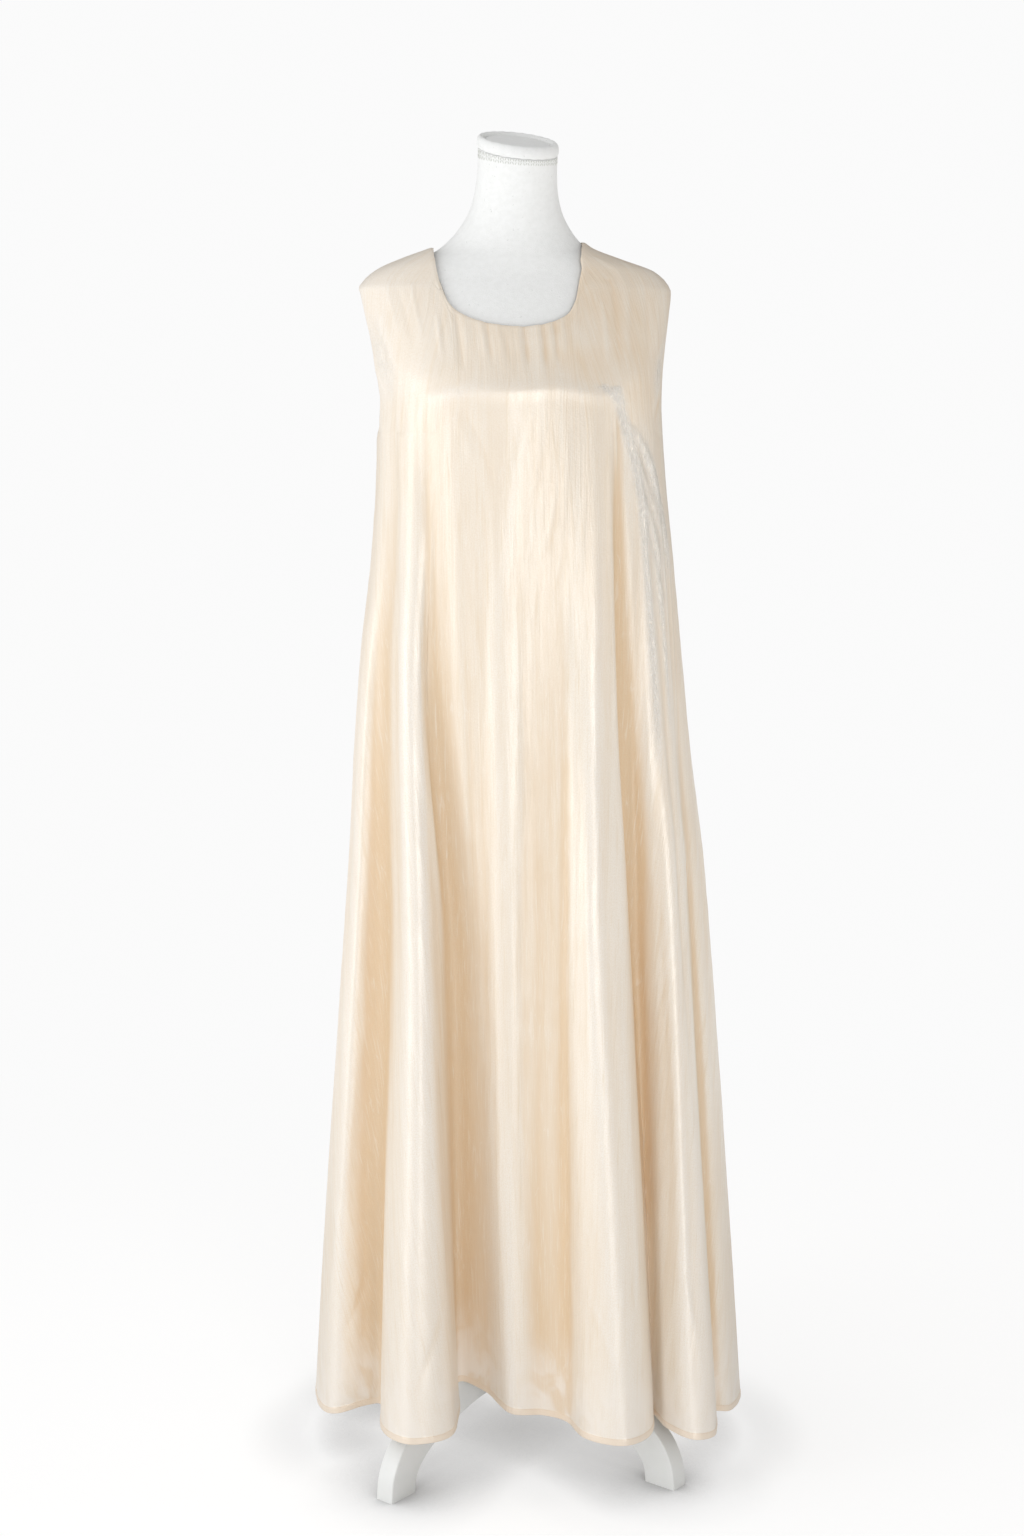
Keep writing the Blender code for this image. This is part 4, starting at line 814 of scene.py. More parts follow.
    height = arithmetic(tree, "ADD", arithmetic(tree, "MULTIPLY", streak, 0.60),
                        arithmetic(tree, "MULTIPLY", fine, 0.17))
    height = arithmetic(tree, "ADD", height, arithmetic(tree, "MULTIPLY", cross, 0.26))
    height = arithmetic(tree, "ADD", height, arithmetic(tree, "MULTIPLY", lines, 0.04))
    height = arithmetic(tree, "ADD", height, arithmetic(tree, "MULTIPLY", crush_and_painted_glint, 0.75))
    bump = tree.nodes.new("ShaderNodeBump")
    bump.inputs["Strength"].default_value = 0.6
    bump.inputs["Distance"].default_value = 0.0016
    tree.links.new(height, bump.inputs["Height"])
    tree.links.new(bump.outputs["Normal"], shader.inputs["Normal"])
    return mat


def thread_material():
    mat, tree, shader = node_material("satin_thread")
    place = tree.nodes.new("ShaderNodeTexCoord").outputs["Object"]
    twist = noise(tree, mapped(tree, place, (900.0, 900.0, 900.0)), 1.0, 2.0)
    colour = blend_colours(tree, twist, (0.74, 0.60, 0.44), (0.84, 0.71, 0.55))
    tree.links.new(colour, shader.inputs["Base Color"])
    shader.inputs["Roughness"].default_value = 0.5
    return mat


def jersey_material():
    """White cotton jersey with a fine knit and a little fluff."""
    mat, tree, shader = node_material("white_jersey")
    place = tree.nodes.new("ShaderNodeTexCoord").outputs["Object"]
    knit = noise(tree, mapped(tree, place, (1100.0, 1100.0, 620.0)), 1.0, 2.0, 0.5)
    fluff = noise(tree, mapped(tree, place, (160.0, 160.0, 160.0)), 1.0, 4.0, 0.6)
    specks = noise(tree, mapped(tree, place, (260.0, 260.0, 260.0), (4.0, 1.0, 2.0)), 1.0, 2.0, 0.5)
    colour = blend_colours(tree, spread(tree, fluff, 0.35, 0.65, 0.0, 1.0), (0.895, 0.900, 0.888), (0.925, 0.930, 0.920))
    colour = blend_colours(tree, spread(tree, specks, 0.69, 0.76, 0.0, 0.5), colour, (0.62, 0.63, 0.61))
    tree.links.new(colour, shader.inputs["Base Color"])
    shader.inputs["Roughness"].default_value = 0.88
    shader.inputs["Specular IOR Level"].default_value = 0.25
    shader.inputs["Sheen Weight"].default_value = 0.25
    shader.inputs["Sheen Roughness"].default_value = 0.5
    bump = tree.nodes.new("ShaderNodeBump")
    bump.inputs["Strength"].default_value = 0.6
    bump.inputs["Distance"].default_value = 0.0005
    height = arithmetic(tree, "ADD", knit, arithmetic(tree, "MULTIPLY", fluff, 0.8))
    tree.links.new(height, bump.inputs["Height"])
    tree.links.new(bump.outputs["Normal"], shader.inputs["Normal"])
    return mat


def jersey_thread_material():
    mat, tree, shader = node_material("jersey_thread")
    place = tree.nodes.new("ShaderNodeTexCoord").outputs["Object"]
    twist = noise(tree, mapped(tree, place, (700.0, 700.0, 700.0)), 1.0, 2.0)
    colour = blend_colours(tree, twist, (0.62, 0.63, 0.58), (0.76, 0.77, 0.73))
    tree.links.new(colour, shader.inputs["Base Color"])
    shader.inputs["Roughness"].default_value = 0.8
    return mat


def paint_material():
    """White paint brushed on wood."""
    mat, tree, shader = node_material("white_painted_wood")
    place = tree.nodes.new("ShaderNodeTexCoord").outputs["Object"]
    cloud = noise(tree, mapped(tree, place, (22.0, 22.0, 22.0)), 1.0, 3.0)
    brush = noise(tree, mapped(tree, place, (420.0, 420.0, 60.0)), 1.0, 3.0)
    colour = blend_colours(tree, spread(tree, cloud, 0.35, 0.65, 0.0, 1.0), (0.855, 0.860, 0.840), (0.885, 0.888, 0.872))
    tree.links.new(colour, shader.inputs["Base Color"])
    tree.links.new(spread(tree, brush, 0.3, 0.7, 0.36, 0.48), shader.inputs["Roughness"])
    bump = tree.nodes.new("ShaderNodeBump")
    bump.inputs["Strength"].default_value = 0.25
    bump.inputs["Distance"].default_value = 0.0004
    tree.links.new(brush, bump.inputs["Height"])
    tree.links.new(bump.outputs["Normal"], shader.inputs["Normal"])
    return mat


# ------------------------------------------------------------------ meshes
AXIS = np.array([AXIS_X, AXIS_Y, 0.0])


def mesh_object(name, verts, faces, mat, uv=None):
    """A piece in the row's frame.  The points are given about the stand's axis."""
    mesh = bpy.data.meshes.new(name)
    mesh.from_pydata((np.asarray(verts) + AXIS).tolist(), [], faces)
    mesh.update()
    if uv is not None:
        layer = mesh.uv_layers.new(name="cloth")
        corner = np.zeros(len(mesh.loops), dtype=np.int32)
        mesh.loops.foreach_get("vertex_index", corner)
        layer.data.foreach_set("uv", np.asarray(uv, dtype=np.float32)[corner].ravel())
    mesh.materials.append(mat)
    mesh.shade_smooth()
    obj = bpy.data.objects.new(name, mesh)
    bpy.context.scene.collection.objects.link(obj)
    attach(obj, "root")
    return obj


def line_distance(points, line):
    """Shortest distance from each point to a line through points."""
    start, along = line[:-1], np.diff(line, axis=0)
    square = np.maximum((along ** 2).sum(axis=1), 1e-18)
    result = np.empty(len(points))
    for low in range(0, len(points), 3000):
        away = points[low:low + 3000, None] - start
        t = np.clip((away * along).sum(axis=2) / square, 0.0, 1.0)
        result[low:low + 3000] = np.sqrt(((away - t[..., None] * along) ** 2).sum(axis=2).min(axis=1))
    return result


def edge_distances(grid, across):
    """Distance of each grid point to the open edges (neck and armholes) and to the seams."""
    z = grid[..., 2]
    side = np.minimum(across, across[:, -1:] - across)
    edge, seam = np.ones_like(z), side.copy()
    near = z > UNDERARM_Z - 0.040
    edges, seams = [grid[-1]], []
    for col in (grid[:, 0], grid[:, -1]):
        arm = (col[:, 2] > UNDERARM_Z - 1e-6) & (col[:, 2] < TIP_Z + 1e-6)
        edges.append(col[arm])
        seams.append(col[(col[:, 2] < UNDERARM_Z + 1e-6) & (col[:, 2] > UNDERARM_Z - 0.080)])
        seams.append(col[col[:, 2] > TIP_Z - 1e-6])
    edge[near] = np.min([line_distance(grid[near], line) for line in edges], axis=0)
    seam[near] = np.min([line_distance(grid[near], line) for line in seams], axis=0)
    return edge, seam


def panel_relief(us, grid, back):
    """Creases, gathers, crinkle, hem and turned edges: height over the plain face, in metres."""
    z = grid[..., 2]
    across = lengths(grid, 1)
    middle = int(np.argmin(np.abs(turn_of(us) - math.radians(270.0 if back else 90.0))))
    s = across - across[:, middle:middle + 1]
    up = lengths(grid, 0)
    edge, seam = edge_distances(grid, across)
    seed = 40 if back else 10
    relief = crease_height(us, s, z, BACK_CREASES if back else FRONT_CREASES, back)

    # crinkle: soft uneven streaks down the cloth, with a slow sideways wander
    wander = 0.010 * smooth_noise(s * 9.0, z * 3.5, seed) + 0.005 * smooth_noise(s * 26.0, z * 9.0, seed + 1)
    a, b = s + wander, z
    body = step(0.02, 0.10, up) * (0.55 + 0.45 * step(1.34, 1.22, z))
    patchy = 0.5 + 0.5 * smooth_noise(s * 7.0, z * 4.0, seed + 2)
    relief += 0.00050 * body * patchy * smooth_noise(a * 44.0, b * 6.0, seed + 3)
    relief += 0.00022 * patchy * body * smooth_noise(a * 88.0, b * 16.0, seed + 4)
    relief += 0.00028 * smooth_noise(s * 40.0 + 2.0 * z, z * 34.0, seed + 5) * step(0.20, 0.50, smooth_noise(s * 8.0, z * 6.0, seed + 6))
    relief += 0.0014 * smooth_noise(s * 10.0, z * 2.2, seed + 7) * step(0.05, 0.30, up) * step(1.44, 1.30, z)

    # the break across the bust, where the cloth stops lying on the chest and starts to hang
    if not back:
        reach = step(0.142, 0.080, np.abs(s + 0.008))
        line = BUST_BREAK_Z + 0.0012 * np.sin(s * 61.0) - 0.45 * s ** 2
        relief += 0.0030 * reach * np.exp(-((z - line) / 0.0098) ** 2)
        relief -= 0.0021 * reach * np.exp(-((z - line - 0.032) / 0.022) ** 2)

    # the hem's line of stitches draws it in a little
    pucker = smooth_noise(s * 95.0, s * 0.0 + 3.0, seed + 8) + 0.6 * smooth_noise(s * 190.0, s * 0.0 + 7.0, seed + 9)
    relief += 0.00042 * pucker * np.exp(-((up - HEM_BAND) / 0.0075) ** 2)
    relief += 0.0011 * smooth_noise(s * 26.0, s * 0.0 + 1.0, seed + 11) * step(0.055, 0.0, up)

    # the turned edges of neck and armholes pull unevenly, and the seams are drawn
    draw = smooth_noise(up * 70.0 + s * 70.0, s * 0.0 + 5.0, seed + 12)
    relief += 0.00030 * draw * np.exp(-((edge - 0.007) / 0.005) ** 2)
    drawn = np.exp(-((seam - 0.010) / 0.007) ** 2) * step(0.04, 0.10, up)
    relief += 0.00055 * smooth_noise(z * 42.0, s * 0.0 + 2.0, seed + 13) * drawn

    # all of that dies out at the seams, where the panels meet; the turned hem has two more layers
    # behind its face, the open edges are rounded over and the seams pressed in
    relief *= step(0.0, 0.008, seam)
    relief += 0.00045 * step(HEM_BAND + 0.0012, HEM_BAND - 0.0004, up)
    relief -= 0.00030 * np.exp(-((up - HEM_BAND) / 0.0011) ** 2)
    relief -= 0.0013 * np.clip(1.0 - edge / 0.0034, 0.0, 1.0) ** 2
    relief -= 0.00050 * np.exp(-(seam / 0.0030) ** 2)
    return relief, s, up


BUST_BREAK_Z = 1.3095
# Painted shading of the folds: how deep a valley (painted shade) or how proud a crest (painted highlight) counts in
# full, at the size of the folds and of the creases.
PAINTED_SHADE_COLUMNS = ("reach", "depth", "share")
PAINTED_SHADE_SCALES = ((0.0450, 0.0240, 0.45), (0.0240, 0.0090, 0.36), (0.0070, 0.0010, 0.30))
PAINTED_SHADE_RISE = (0.0160, 0.0022, 0.35)
# Painted shade on the chest: the colour is paler to the wearer's right and deeper to the left.
CHEST_PAINTED_SHADE, CHEST_LOW, CHEST_HIGH = 0.34, 1.230, 1.320


def painted_fold_shading(outer, normals):
    """Painted shading: how far each point lies below (to 1, painted shade) or above (to -1, painted highlight) its
    own row of the cloth, smoothed out.
    """
    across = lengths(outer, 1)
    result = np.zeros(outer.shape[:2])
    for row in range(len(outer)):
        a = across[row]
        for reach, depth, share in PAINTED_SHADE_SCALES:
            weight = np.exp(-0.5 * ((a[:, None] - a[None]) / reach) ** 2) * np.gradient(a)[None]
            smooth = (weight @ outer[row]) / weight.sum(axis=1, keepdims=True)
            below = ((smooth - outer[row]) * normals[row]).sum(axis=1)
            below -= np.median(below)
            result[row] += share * np.clip(below / depth, -1.0, 1.0)
    reach, depth, share = PAINTED_SHADE_RISE
    up = lengths(outer, 0)
    for col in range(outer.shape[1]):
        a = up[:, col]
        weight = np.exp(-0.5 * ((a[:, None] - a[None]) / reach) ** 2) * np.gradient(a)[None]
        smooth = (weight @ outer[:, col]) / weight.sum(axis=1, keepdims=True)
        below = ((smooth - outer[:, col]) * normals[:, col]).sum(axis=1)
        clear = step(0.012, 0.030, a) * step(0.010, 0.030, a[-1] - a)
        result[:, col] += share * clear * np.clip(below / depth, -1.0, 1.0)
    return result


def build_panel(back):
    us, grid = fine_grid(back)
    normals = plain_normals(us, grid, back)
    relief, s, up = panel_relief(us, grid, back)
    outer = grid + normals * relief[..., None]
    return us, grid, normals, outer, s, up


def share_seams(front, back):
    """Both panels' side columns meet, then each draws back by half the seam's narrow opening."""
    for f_col, b_col in ((0, -1), (-1, 0)):
        _, f_grid, f_n, f_out, _, _ = front
        _, b_grid, b_n, b_out, _, _ = back
        both = f_n[:, f_col] + b_n[:, b_col]
        both /= np.linalg.norm(both, axis=1, keepdims=True)
        same = np.linalg.norm(f_grid[:, f_col] - b_grid[:, b_col], axis=1) < 1e-4
        middle = 0.5 * (f_out[:, f_col] + b_out[:, b_col])
        for n, out, col in ((f_n, f_out, f_col), (b_n, b_out, b_col)):
            n[same, col] = both[same]
            out[same, col] = middle[same]
    for us, grid, normals, outer, s, up in (front, back):
        across = lengths(grid, 1)
        way = np.gradient(grid, axis=1)
        way /= np.maximum(np.linalg.norm(way, axis=2, keepdims=True), 1e-12)
        for distance, sign in ((across, 1.0), (across[:, -1:] - across, -1.0)):
            outer += sign * way * (SEAM_GAP / 2) * (np.clip(1.0 - distance / 0.0030, 0.0, 1.0) ** 2)[..., None]


def shell(name, node, panel, mat, crinkle_and_painted_glint, painted_shade_patches):
    """A closed thin wall: the fine outer face, an inner face half as fine, and the rim between."""
    us, grid, normals, outer, s, up = panel
    rows, cols = outer.shape[:2]
    face_n = grid_normals(outer)
    face_n[:, 0], face_n[:, -1] = normals[:, 0], normals[:, -1]
    share = step(UNDERARM_Z - 0.050, UNDERARM_Z - 0.015, grid[..., 2])[..., None]
    face_n = face_n * (1.0 - share) + normals * share
    inner = (outer - face_n * SHELL)[::2, ::2]
    n_rows, n_cols = inner.shape[:2]
    out = np.arange(rows * cols).reshape(rows, cols)
    ins = np.arange(n_rows * n_cols).reshape(n_rows, n_cols) + rows * cols
    faces = np.stack([out[:-1, :-1], out[:-1, 1:], out[1:, 1:], out[1:, :-1]], axis=-1).reshape(-1, 4).tolist()
    faces += np.stack([ins[:-1, :-1], ins[1:, :-1], ins[1:, 1:], ins[:-1, 1:]], axis=-1).reshape(-1, 4).tolist()

    def rim(o, i):
        for k in range(len(i) - 1):
            a, b, c = o[2 * k], o[2 * k + 1], o[2 * k + 2]
            faces.append([int(b), int(a), int(i[k])])
            faces.append([int(b), int(i[k]), int(i[k + 1])])
            faces.append([int(c), int(b), int(i[k + 1])])

    rim(out[0], ins[0])
    rim(out[:, -1], ins[:, -1])
    rim(out[-1][::-1], ins[-1][::-1])
    rim(out[:, 0][::-1], ins[:, 0][::-1])
    uv_out = np.stack([s, up], axis=-1)
    verts = np.concatenate([outer.reshape(-1, 3), inner.reshape(-1, 3)])
    uv = np.concatenate([uv_out.reshape(-1, 2), uv_out[::2, ::2].reshape(-1, 2)])
    obj = mesh_object(name, verts, faces, mat, uv)
    # The crinkle patches mask both the real crush bump and the painted glints in the colour.
    patch = np.clip(1000.0 * crease_height(us, s, grid[..., 2], crinkle_and_painted_glint, us[0] > 0), 0.0, 1.0)
    layer = obj.data.attributes.new("crinkle_and_painted_glint", "FLOAT", "POINT")
    layer.data.foreach_set("value", np.concatenate([patch.ravel(), patch[::2, ::2].ravel()]).astype(np.float32))
    # Painted shading: the cloth's valleys are made darker (painted shade) and its crests paler (painted highlight).
    painted_shading = painted_fold_shading(outer, normals)
    # Painted shade across the chest: deeper to the wearer's left, paler to the right.
    if us[0] == 0:
        painted_shading += CHEST_PAINTED_SHADE * np.clip(s / 0.13, -1.0, 1.0) * step(CHEST_LOW, CHEST_HIGH, grid[..., 2])
    # Painted shade in the deep folds, and painted highlight (paler colour) on the crushed patches.
    painted_shading += 1000.0 * crease_height(us, s, grid[..., 2], painted_shade_patches, us[0] > 0) - 0.6 * patch
    layer = obj.data.attributes.new("painted_shading", "FLOAT", "POINT")
    layer.data.foreach_set("value", np.concatenate([painted_shading.ravel(), painted_shading[::2, ::2].ravel()]).astype(np.float32))
    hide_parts(node)
    return obj


def hem_stitches(name, panel, mat):
    """Short straight stitches, a row of them along the top of the turned hem."""
    us, grid, normals, outer, s, up = panel
    row = 1 + HEM_ROWS.index(0.0070)
    line = outer[row, 1:-1]
    n = grid_normals(outer)[row, 1:-1]
    upward = outer[row + 1, 1:-1] - outer[row - 1, 1:-1]
    run = np.concatenate([[0.0], np.cumsum(np.linalg.norm(np.diff(line, axis=0), axis=1))])
    pitch, length, half, high = 0.0030, 0.0021, 0.00024, 0.00022
    starts = np.arange(0.004, run[-1] - 0.006, pitch)

    def at(d, values):
        return np.stack([np.interp(d, run, values[:, k]) for k in range(3)], axis=-1)

    a, b = at(starts, line), at(starts + length, line)
    na = at(starts + length / 2, n)
    na /= np.linalg.norm(na, axis=1, keepdims=True)
    w = at(starts + length / 2, upward)
    w /= np.linalg.norm(w, axis=1, keepdims=True)
    verts, faces = [], []
    for p, q, nn, ww in zip(a, b, na, w):
        base = len(verts)
        mid = 0.5 * (p + q)
        ring = [(-1, -0.3), (-1, 0.6), (1, 0.6), (1, -0.3)]
        for point, grow in ((p, 0.45), (mid, 1.0), (q, 0.45)):
            for side, lift in ring:
                verts.append(point + ww * side * half * grow + nn * lift * high * grow)
        for k in range(2):
            for i in range(4):
                j = (i + 1) % 4
                faces.append([base + 4 * k + i, base + 4 * k + j, base + 4 * k + 4 + j, base + 4 * k + 4 + i])
        faces.append([base + 3, base + 2, base + 1, base])
        faces.append([base + 8, base + 9, base + 10, base + 11])
    obj = mesh_object(name, np.array(verts), faces, mat)
    return outward(obj)


def outward(obj):
    """Turns every closed part of a mesh face out."""
    bm = bmesh.new()
    bm.from_mesh(obj.data)
    bmesh.ops.recalc_face_normals(bm, faces=bm.faces)
    bm.to_mesh(obj.data)
    bm.free()
    return obj


def loft(name, rings, mat):
    """A closed solid through rings of points, each end filled with a fan."""
    rings = np.asarray(rings)
    count = rings.shape[1]
    verts = rings.reshape(-1, 3)
    low, high = len(verts), len(verts) + 1
    verts = np.concatenate([verts, rings[0].mean(axis=0)[None], rings[-1].mean(axis=0)[None]])
    faces = []
    for k in range(len(rings) - 1):
        for i in range(count):
            j = (i + 1) % count
            faces.append([k * count + i, k * count + j, (k + 1) * count + j, (k + 1) * count + i])
    last = (len(rings) - 1) * count
    for i in range(count):
        j = (i + 1) % count
        faces.append([low, j, i])
        faces.append([high, last + i, last + j])
    return outward(mesh_object(name, verts, faces, mat))


# ------------------------------------------------------------------ the form
# Cap profile, finer than the solid's: share of the neck's size, and height above its end.
CAP_COLUMNS = ("share", "height")
CAP_PROFILE = (
    (0.900, 0.0003), (0.960, 0.0003), (0.990, 0.0007), (1.012, 0.0016), (1.028, 0.0032), (1.038, 0.0052), (1.041, 0.0074),
    (1.036, 0.0097), (1.022, 0.0119), (0.999, 0.0136), (0.968, 0.0146), (0.932, 0.0147), (0.898, 0.0140), (0.874, 0.0127),
    (0.860, 0.0108), (0.852, 0.0086), (0.842, 0.0078), (0.832, 0.0088), (0.820, 0.0106), (0.800, 0.0116), (0.770, 0.0120),
    (0.700, 0.0122), (0.600, 0.0124), (0.450, 0.0126), (0.250, 0.0127), (0.080, 0.0127),
)


def build_form(jersey, thread):
    count = 128
    angles = np.arange(count) * 2 * math.pi / count
    low, top = FORM_RINGS[0][0], FORM_RINGS[-1][0]
    zs = np.concatenate([np.linspace(low, 1.36, 72)[:-1], np.linspace(1.36, top, 60)])
    rings = []
    for z in zs:
        full = 1.0 + 0.009 * float(step(1.335, 1.375, z) * step(1.465, 1.430, z))
        x, y, zz = form_point(angles, np.full(count, z), full)
        rings.append(np.stack([x, y, zz], axis=-1))
    torso = loft("jersey_torso", rings, jersey)
    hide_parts("form_torso")
    rings = []
    fine = np.linspace(0, len(CAP_PROFILE) - 1, 3 * (len(CAP_PROFILE) - 1) + 1)
    index = np.arange(len(CAP_PROFILE))
    shares = np.interp(fine, index, column(CAP_PROFILE, CAP_COLUMNS, "share"))
    heights = np.interp(fine, index, column(CAP_PROFILE, CAP_COLUMNS, "height"))
    for share, height in zip(shares, heights):
        x, y, zz = form_point(angles, np.full(count, top), share)
        ripple = 0.00025 * np.sin(angles * 23.0) * step(0.80, 0.86, share) * step(1.06, 1.02, share)
        rings.append(np.stack([x, y, zz + height + ripple], axis=-1))
    cap = loft("jersey_cap", rings, jersey)
    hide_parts("neck_cap")

    # two rows of overlocked stitches round the neck, under the rim
    verts, faces = [], []
    rng = np.random.default_rng(5)
    for base_z, size, number in ((top - 0.0024, 0.0022, 96), (top - 0.0072, 0.0022, 96)):
        for k in range(number):
            angle = 2 * math.pi * (k + rng.uniform(-0.12, 0.12)) / number
            z0 = base_z + rng.uniform(-0.0003, 0.0003)
            points = []
            lean = 0.013 if k % 2 else -0.013
            for dz, da in ((-size, -lean), (0.0, 0.0), (size, lean)):
                x, y, zz = form_point(np.array([angle + da]), np.array([z0 + dz]))
                points.append(np.array([float(x[0]), float(y[0]), float(zz[0])]))
            middle_y = FORM_RINGS[-1][4]
            way = np.array([points[1][0], points[1][1] - middle_y, 0.0])
            way /= np.linalg.norm(way)
            flat = np.array([-way[1], way[0], 0.0])
            base = len(verts)
            for point, grow in zip(points, (0.5, 1.0, 0.5)):
                for side, lift in ((-1, -0.4), (-1, 0.8), (1, 0.8), (1, -0.4)):
                    verts.append(point + flat * side * 0.00055 * grow + way * lift * 0.00045 * grow)
            for m in range(2):
                for i in range(4):
                    j = (i + 1) % 4
                    faces.append([base + 4 * m + i, base + 4 * m + j, base + 4 * m + 4 + j, base + 4 * m + 4 + i])
            faces.append([base + 3, base + 2, base + 1, base])
            faces.append([base + 8, base + 9, base + 10, base + 11])
    outward(mesh_object("neck_stitches", np.array(verts), faces, thread))
    return torso, cap


# ------------------------------------------------------------------ the stand
STAND_TURN = math.radians(-2.0)
POLE_RADIUS = 0.0140
HUB_HALF = 0.0300
HUB_BOTTOM = 0.0800
HUB_TOP = 0.1400
JOINT_GAP = 0.0003
LEG_WIDTH = 0.0430
LEG_THICK = 0.0250
LEG_ROUND = 0.0018
LEG_COLUMNS = ("reach", "z")
LEG_LINE = (
    (0.2310, 0.0000), (0.2290, 0.0180), (0.2210, 0.0370), (0.2050, 0.0540), (0.1820, 0.0690),
    (0.1540, 0.0820), (0.1240, 0.0920), (0.0930, 0.0990), (0.0620, 0.1030), (0.0303, 0.1050),
)
LEGS = (("leg_front_left", 225.0), ("leg_front_right", 315.0), ("leg_back_right", 45.0), ("leg_back_left", 135.0))


def turn_about_axis(points, angle):
    c, s = math.cos(angle), math.sin(angle)
    points = np.asarray(points)
    return np.stack([points[:, 0] * c - points[:, 1] * s, points[:, 0] * s + points[:, 1] * c, points[:, 2]], axis=-1)


def rounded_corners(half_a, half_b, radius, steps):
    """Outline of a rectangle with rounded corners."""
    outline = []
    for ca, cb, start in ((1, 1, 0.0), (-1, 1, 90.0), (-1, -1, 180.0), (1, -1, 270.0)):
        for k in range(steps + 1):
            t = math.radians(start + 90.0 * k / steps)
            outline.append((ca * (half_a - radius) + radius * math.cos(t), cb * (half_b - radius) + radius * math.sin(t)))
    return outline


def build_stand(paint):
    line_s = np.linspace(0.0, 1.0, len(LEG_LINE))
    fine = np.linspace(0.0, 1.0, 57)
    reach = smooth_through(line_s, column(LEG_LINE, LEG_COLUMNS, "reach"), fine)
    height = smooth_through(line_s, column(LEG_LINE, LEG_COLUMNS, "z"), fine)
    along = np.stack([np.gradient(reach), np.gradient(height)], axis=1)
    along /= np.linalg.norm(along, axis=1, keepdims=True)
    along[0], along[-1] = (0.0, 1.0), (-1.0, 0.0)
    side = np.stack([along[:, 1], -along[:, 0]], axis=1)
    outline = rounded_corners(LEG_WIDTH / 2, LEG_THICK / 2, LEG_ROUND, 4)
    for node, angle in LEGS:
        rings = []
        for k in range(len(fine)):
            ring = [(reach[k] + side[k, 0] * a, b, height[k] + side[k, 1] * a) for a, b in outline]
            rings.append(turn_about_axis(ring, math.radians(angle) + STAND_TURN))
        leg = loft("painted_" + node, rings, paint)
        leg.data.set_sharp_from_angle(angle=math.radians(40.0))
        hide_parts(node)
    outline = rounded_corners(HUB_HALF, HUB_HALF, 0.008, 6)
    rings = []
    for inset, z in ((0.0020, HUB_BOTTOM), (0.0006, HUB_BOTTOM + 0.0006), (0.0, HUB_BOTTOM + 0.0020),
                     (0.0, HUB_TOP - 0.0020), (0.0006, HUB_TOP - 0.0006), (0.0020, HUB_TOP)):
        k = 1.0 - inset / HUB_HALF
        rings.append(turn_about_axis([(a * k, b * k, z) for a, b in outline], math.radians(45.0) + STAND_TURN))
    hub = loft("painted_hub", rings, paint)
    hub.data.set_sharp_from_angle(angle=math.radians(40.0))
    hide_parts("stand_hub")
    rings = []
    for z in (HUB_TOP + JOINT_GAP, FORM_RINGS[0][0] - JOINT_GAP):
        rings.append([(POLE_RADIUS * math.cos(2 * math.pi * i / 64), POLE_RADIUS * math.sin(2 * math.pi * i / 64), z)
                      for i in range(64)])
    pole = loft("painted_pole", rings, paint)
    pole.data.set_sharp_from_angle(angle=math.radians(40.0))
    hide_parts("stand_pole")


# ------------------------------------------------------------------ floor, light and camera
FLOOR_WHITE = 0.962


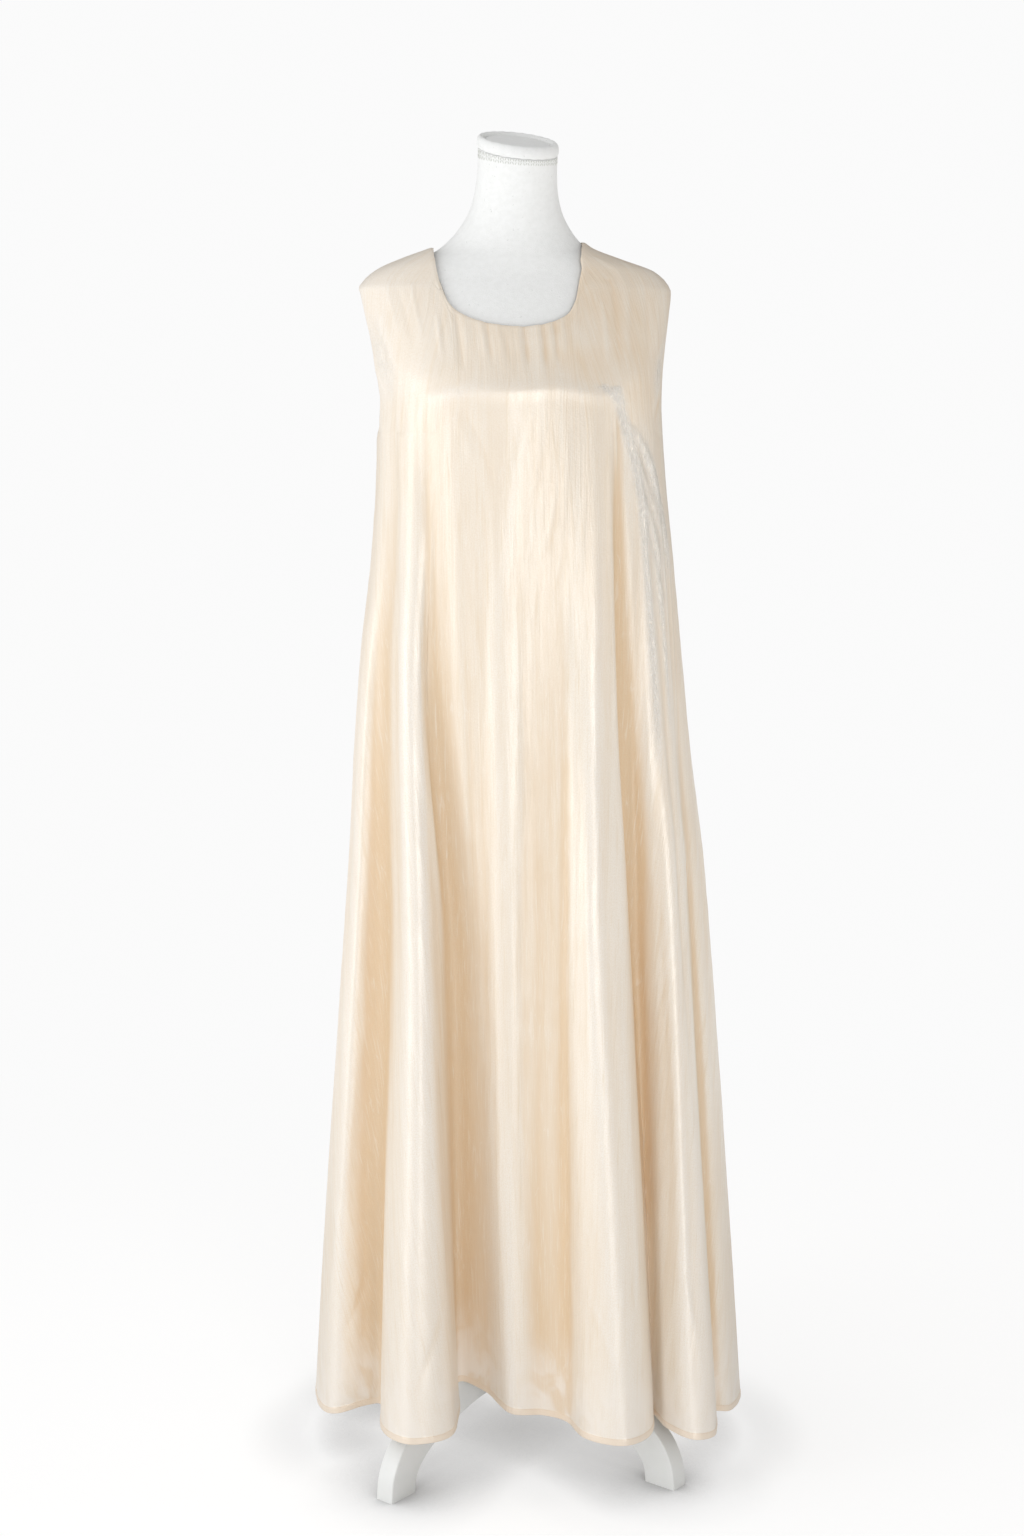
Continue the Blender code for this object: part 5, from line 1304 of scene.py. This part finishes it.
def build_stage():
    mesh = bpy.data.meshes.new("floor")
    count, radius = 96, 30.0
    verts = [(radius * math.cos(2 * math.pi * k / count), radius * math.sin(2 * math.pi * k / count), 0.0) for k in range(count)]
    mesh.from_pydata(verts, [], [list(range(count))])
    floor = bpy.data.objects.new("floor", mesh)
    bpy.context.scene.collection.objects.link(floor)
    mat = bpy.data.materials.new("floor_white")
    mat.use_nodes = True
    tree = mat.node_tree
    tree.nodes.clear()
    out = tree.nodes.new("ShaderNodeOutputMaterial")
    diffuse = tree.nodes.new("ShaderNodeBsdfDiffuse")
    diffuse.inputs["Color"].default_value = (FLOOR_DIFFUSE, FLOOR_DIFFUSE, FLOOR_DIFFUSE, 1.0)
    glow = tree.nodes.new("ShaderNodeEmission")
    seen = tree.nodes.new("ShaderNodeLightPath").outputs["Is Camera Ray"]
    open_sky = tree.nodes.new("ShaderNodeAmbientOcclusion")
    open_sky.inputs["Distance"].default_value = 0.11
    open_sky.samples = 8
    shade = spread(tree, seen, 0.0, 1.0, FLOOR_GLOW, FLOOR_SEEN)
    shadow = arithmetic(tree, "POWER", open_sky.outputs["AO"], 2.0)
    tree.links.new(arithmetic(tree, "MULTIPLY", shade, shadow), glow.inputs["Strength"])
    far = tree.nodes.new("ShaderNodeEmission")
    far.inputs["Strength"].default_value = FLOOR_WHITE
    both = tree.nodes.new("ShaderNodeAddShader")
    tree.links.new(diffuse.outputs[0], both.inputs[0])
    tree.links.new(glow.outputs[0], both.inputs[1])
    place = tree.nodes.new("ShaderNodeTexCoord").outputs["Object"]
    length = tree.nodes.new("ShaderNodeVectorMath")
    length.operation = "LENGTH"
    tree.links.new(place, length.inputs[0])
    fade = spread(tree, length.outputs["Value"], 0.75, 1.9, 0.0, 1.0)
    mix = tree.nodes.new("ShaderNodeMixShader")
    tree.links.new(fade, mix.inputs[0])
    tree.links.new(both.outputs[0], mix.inputs[1])
    tree.links.new(far.outputs[0], mix.inputs[2])
    tree.links.new(mix.outputs[0], out.inputs["Surface"])
    mesh.materials.append(mat)

    world = bpy.data.worlds.new("studio")
    bpy.context.scene.world = world
    world.use_nodes = True
    tree = world.node_tree
    tree.nodes.clear()
    out = tree.nodes.new("ShaderNodeOutputWorld")
    seen = tree.nodes.new("ShaderNodeBackground")
    seen.inputs["Color"].default_value = (1.0, 1.0, 1.0, 1.0)
    seen.inputs["Strength"].default_value = FLOOR_WHITE
    room = tree.nodes.new("ShaderNodeBackground")
    direction = tree.nodes.new("ShaderNodeTexCoord").outputs["Generated"]
    split = tree.nodes.new("ShaderNodeSeparateXYZ")
    tree.links.new(direction, split.inputs["Vector"])
    room.inputs["Color"].default_value = (1.0, 1.0, 1.0, 1.0)
    left = spread(tree, split.outputs["X"], -1.0, 0.0, ROOM_LEFT - ROOM_MIDDLE, 0.0)
    right = spread(tree, split.outputs["X"], 0.0, 1.0, 0.0, ROOM_RIGHT - ROOM_MIDDLE)
    aside = arithmetic(tree, "ADD", left, right)
    aside = arithmetic(tree, "ADD", aside, ROOM_MIDDLE)
    upper = spread(tree, split.outputs["Z"], 0.15, 1.0, 0.0, ROOM_TOP)
    tree.links.new(arithmetic(tree, "ADD", aside, upper), room.inputs["Strength"])
    ray = tree.nodes.new("ShaderNodeLightPath")
    mix = tree.nodes.new("ShaderNodeMixShader")
    tree.links.new(ray.outputs["Is Camera Ray"], mix.inputs[0])
    tree.links.new(room.outputs[0], mix.inputs[1])
    tree.links.new(seen.outputs[0], mix.inputs[2])
    tree.links.new(mix.outputs[0], out.inputs["Surface"])


ROOM_LEFT, ROOM_MIDDLE, ROOM_RIGHT = 1.05, 0.16, 0.28
ROOM_TOP = 0.38
FLOOR_DIFFUSE, FLOOR_GLOW, FLOOR_SEEN = 0.40, 0.40, 0.70
# Soft boxes: where they stand, what they face, width, height and power in watts.
LIGHT_COLUMNS = ("name", "place", "faces", "width", "height", "power", "colour")
LIGHTS = (
    ("front_strip", (0.36, -3.26, 1.00), (0.0, 0.0, 0.80), 1.1, 2.0, 27.2, (1.0, 1.0, 1.0)),
    ("left_box", (-3.10, -1.10, 0.95), (0.0, 0.0, 0.65), 1.0, 1.9, 16.7, (0.95, 0.98, 1.0)),
    ("right_strip", (2.75, -0.55, 1.50), (0.12, 0.0, 1.24), 0.4, 0.9, 4.6, (1.0, 0.92, 0.80)),
)


def build_lights():
    for name, place, faces, width, height, power, colour in LIGHTS:
        data = bpy.data.lights.new(name, "AREA")
        data.shape = "RECTANGLE"
        data.size, data.size_y = width, height
        data.energy = power
        data.color = colour
        light = bpy.data.objects.new(name, data)
        bpy.context.scene.collection.objects.link(light)
        light.location = place
        light.rotation_euler = (Vector(faces) - Vector(place)).to_track_quat("-Z", "Y").to_euler()


def build_camera():
    data = bpy.data.cameras.new("camera")
    data.lens = 54.741
    data.sensor_width = 36.0
    camera = bpy.data.objects.new("camera", data)
    bpy.context.scene.collection.objects.link(camera)
    camera.location = (-0.4083, -2.7909, 1.2762)
    camera.rotation_euler = (math.radians(81.5), 0.0, math.radians(-8.0))
    data.clip_start, data.clip_end = 0.05, 100.0
    bpy.context.scene.camera = camera
    scene = bpy.context.scene
    scene.view_settings.view_transform = "Standard"
    scene.view_settings.look = "None"
    scene.view_settings.exposure = 0.0
    scene.view_settings.gamma = 1.0


# ------------------------------------------------------------------ the build
satin = satin_material()
thread = thread_material()
front = build_panel(False)
back = build_panel(True)
share_seams(front, back)
satin_front = shell("satin_front", "dress_front", front, satin, FRONT_CRINKLE_AND_GLINT, FRONT_PAINTED_SHADE)
satin_back = shell("satin_back", "dress_back", back, satin, BACK_CRINKLE_AND_GLINT, BACK_PAINTED_SHADE)
stitches_front = hem_stitches("hem_stitches_front", front, thread)
stitches_back = hem_stitches("hem_stitches_back", back, thread)
build_form(jersey_material(), jersey_thread_material())
build_stand(paint_material())
build_stage()
build_lights()
build_camera()
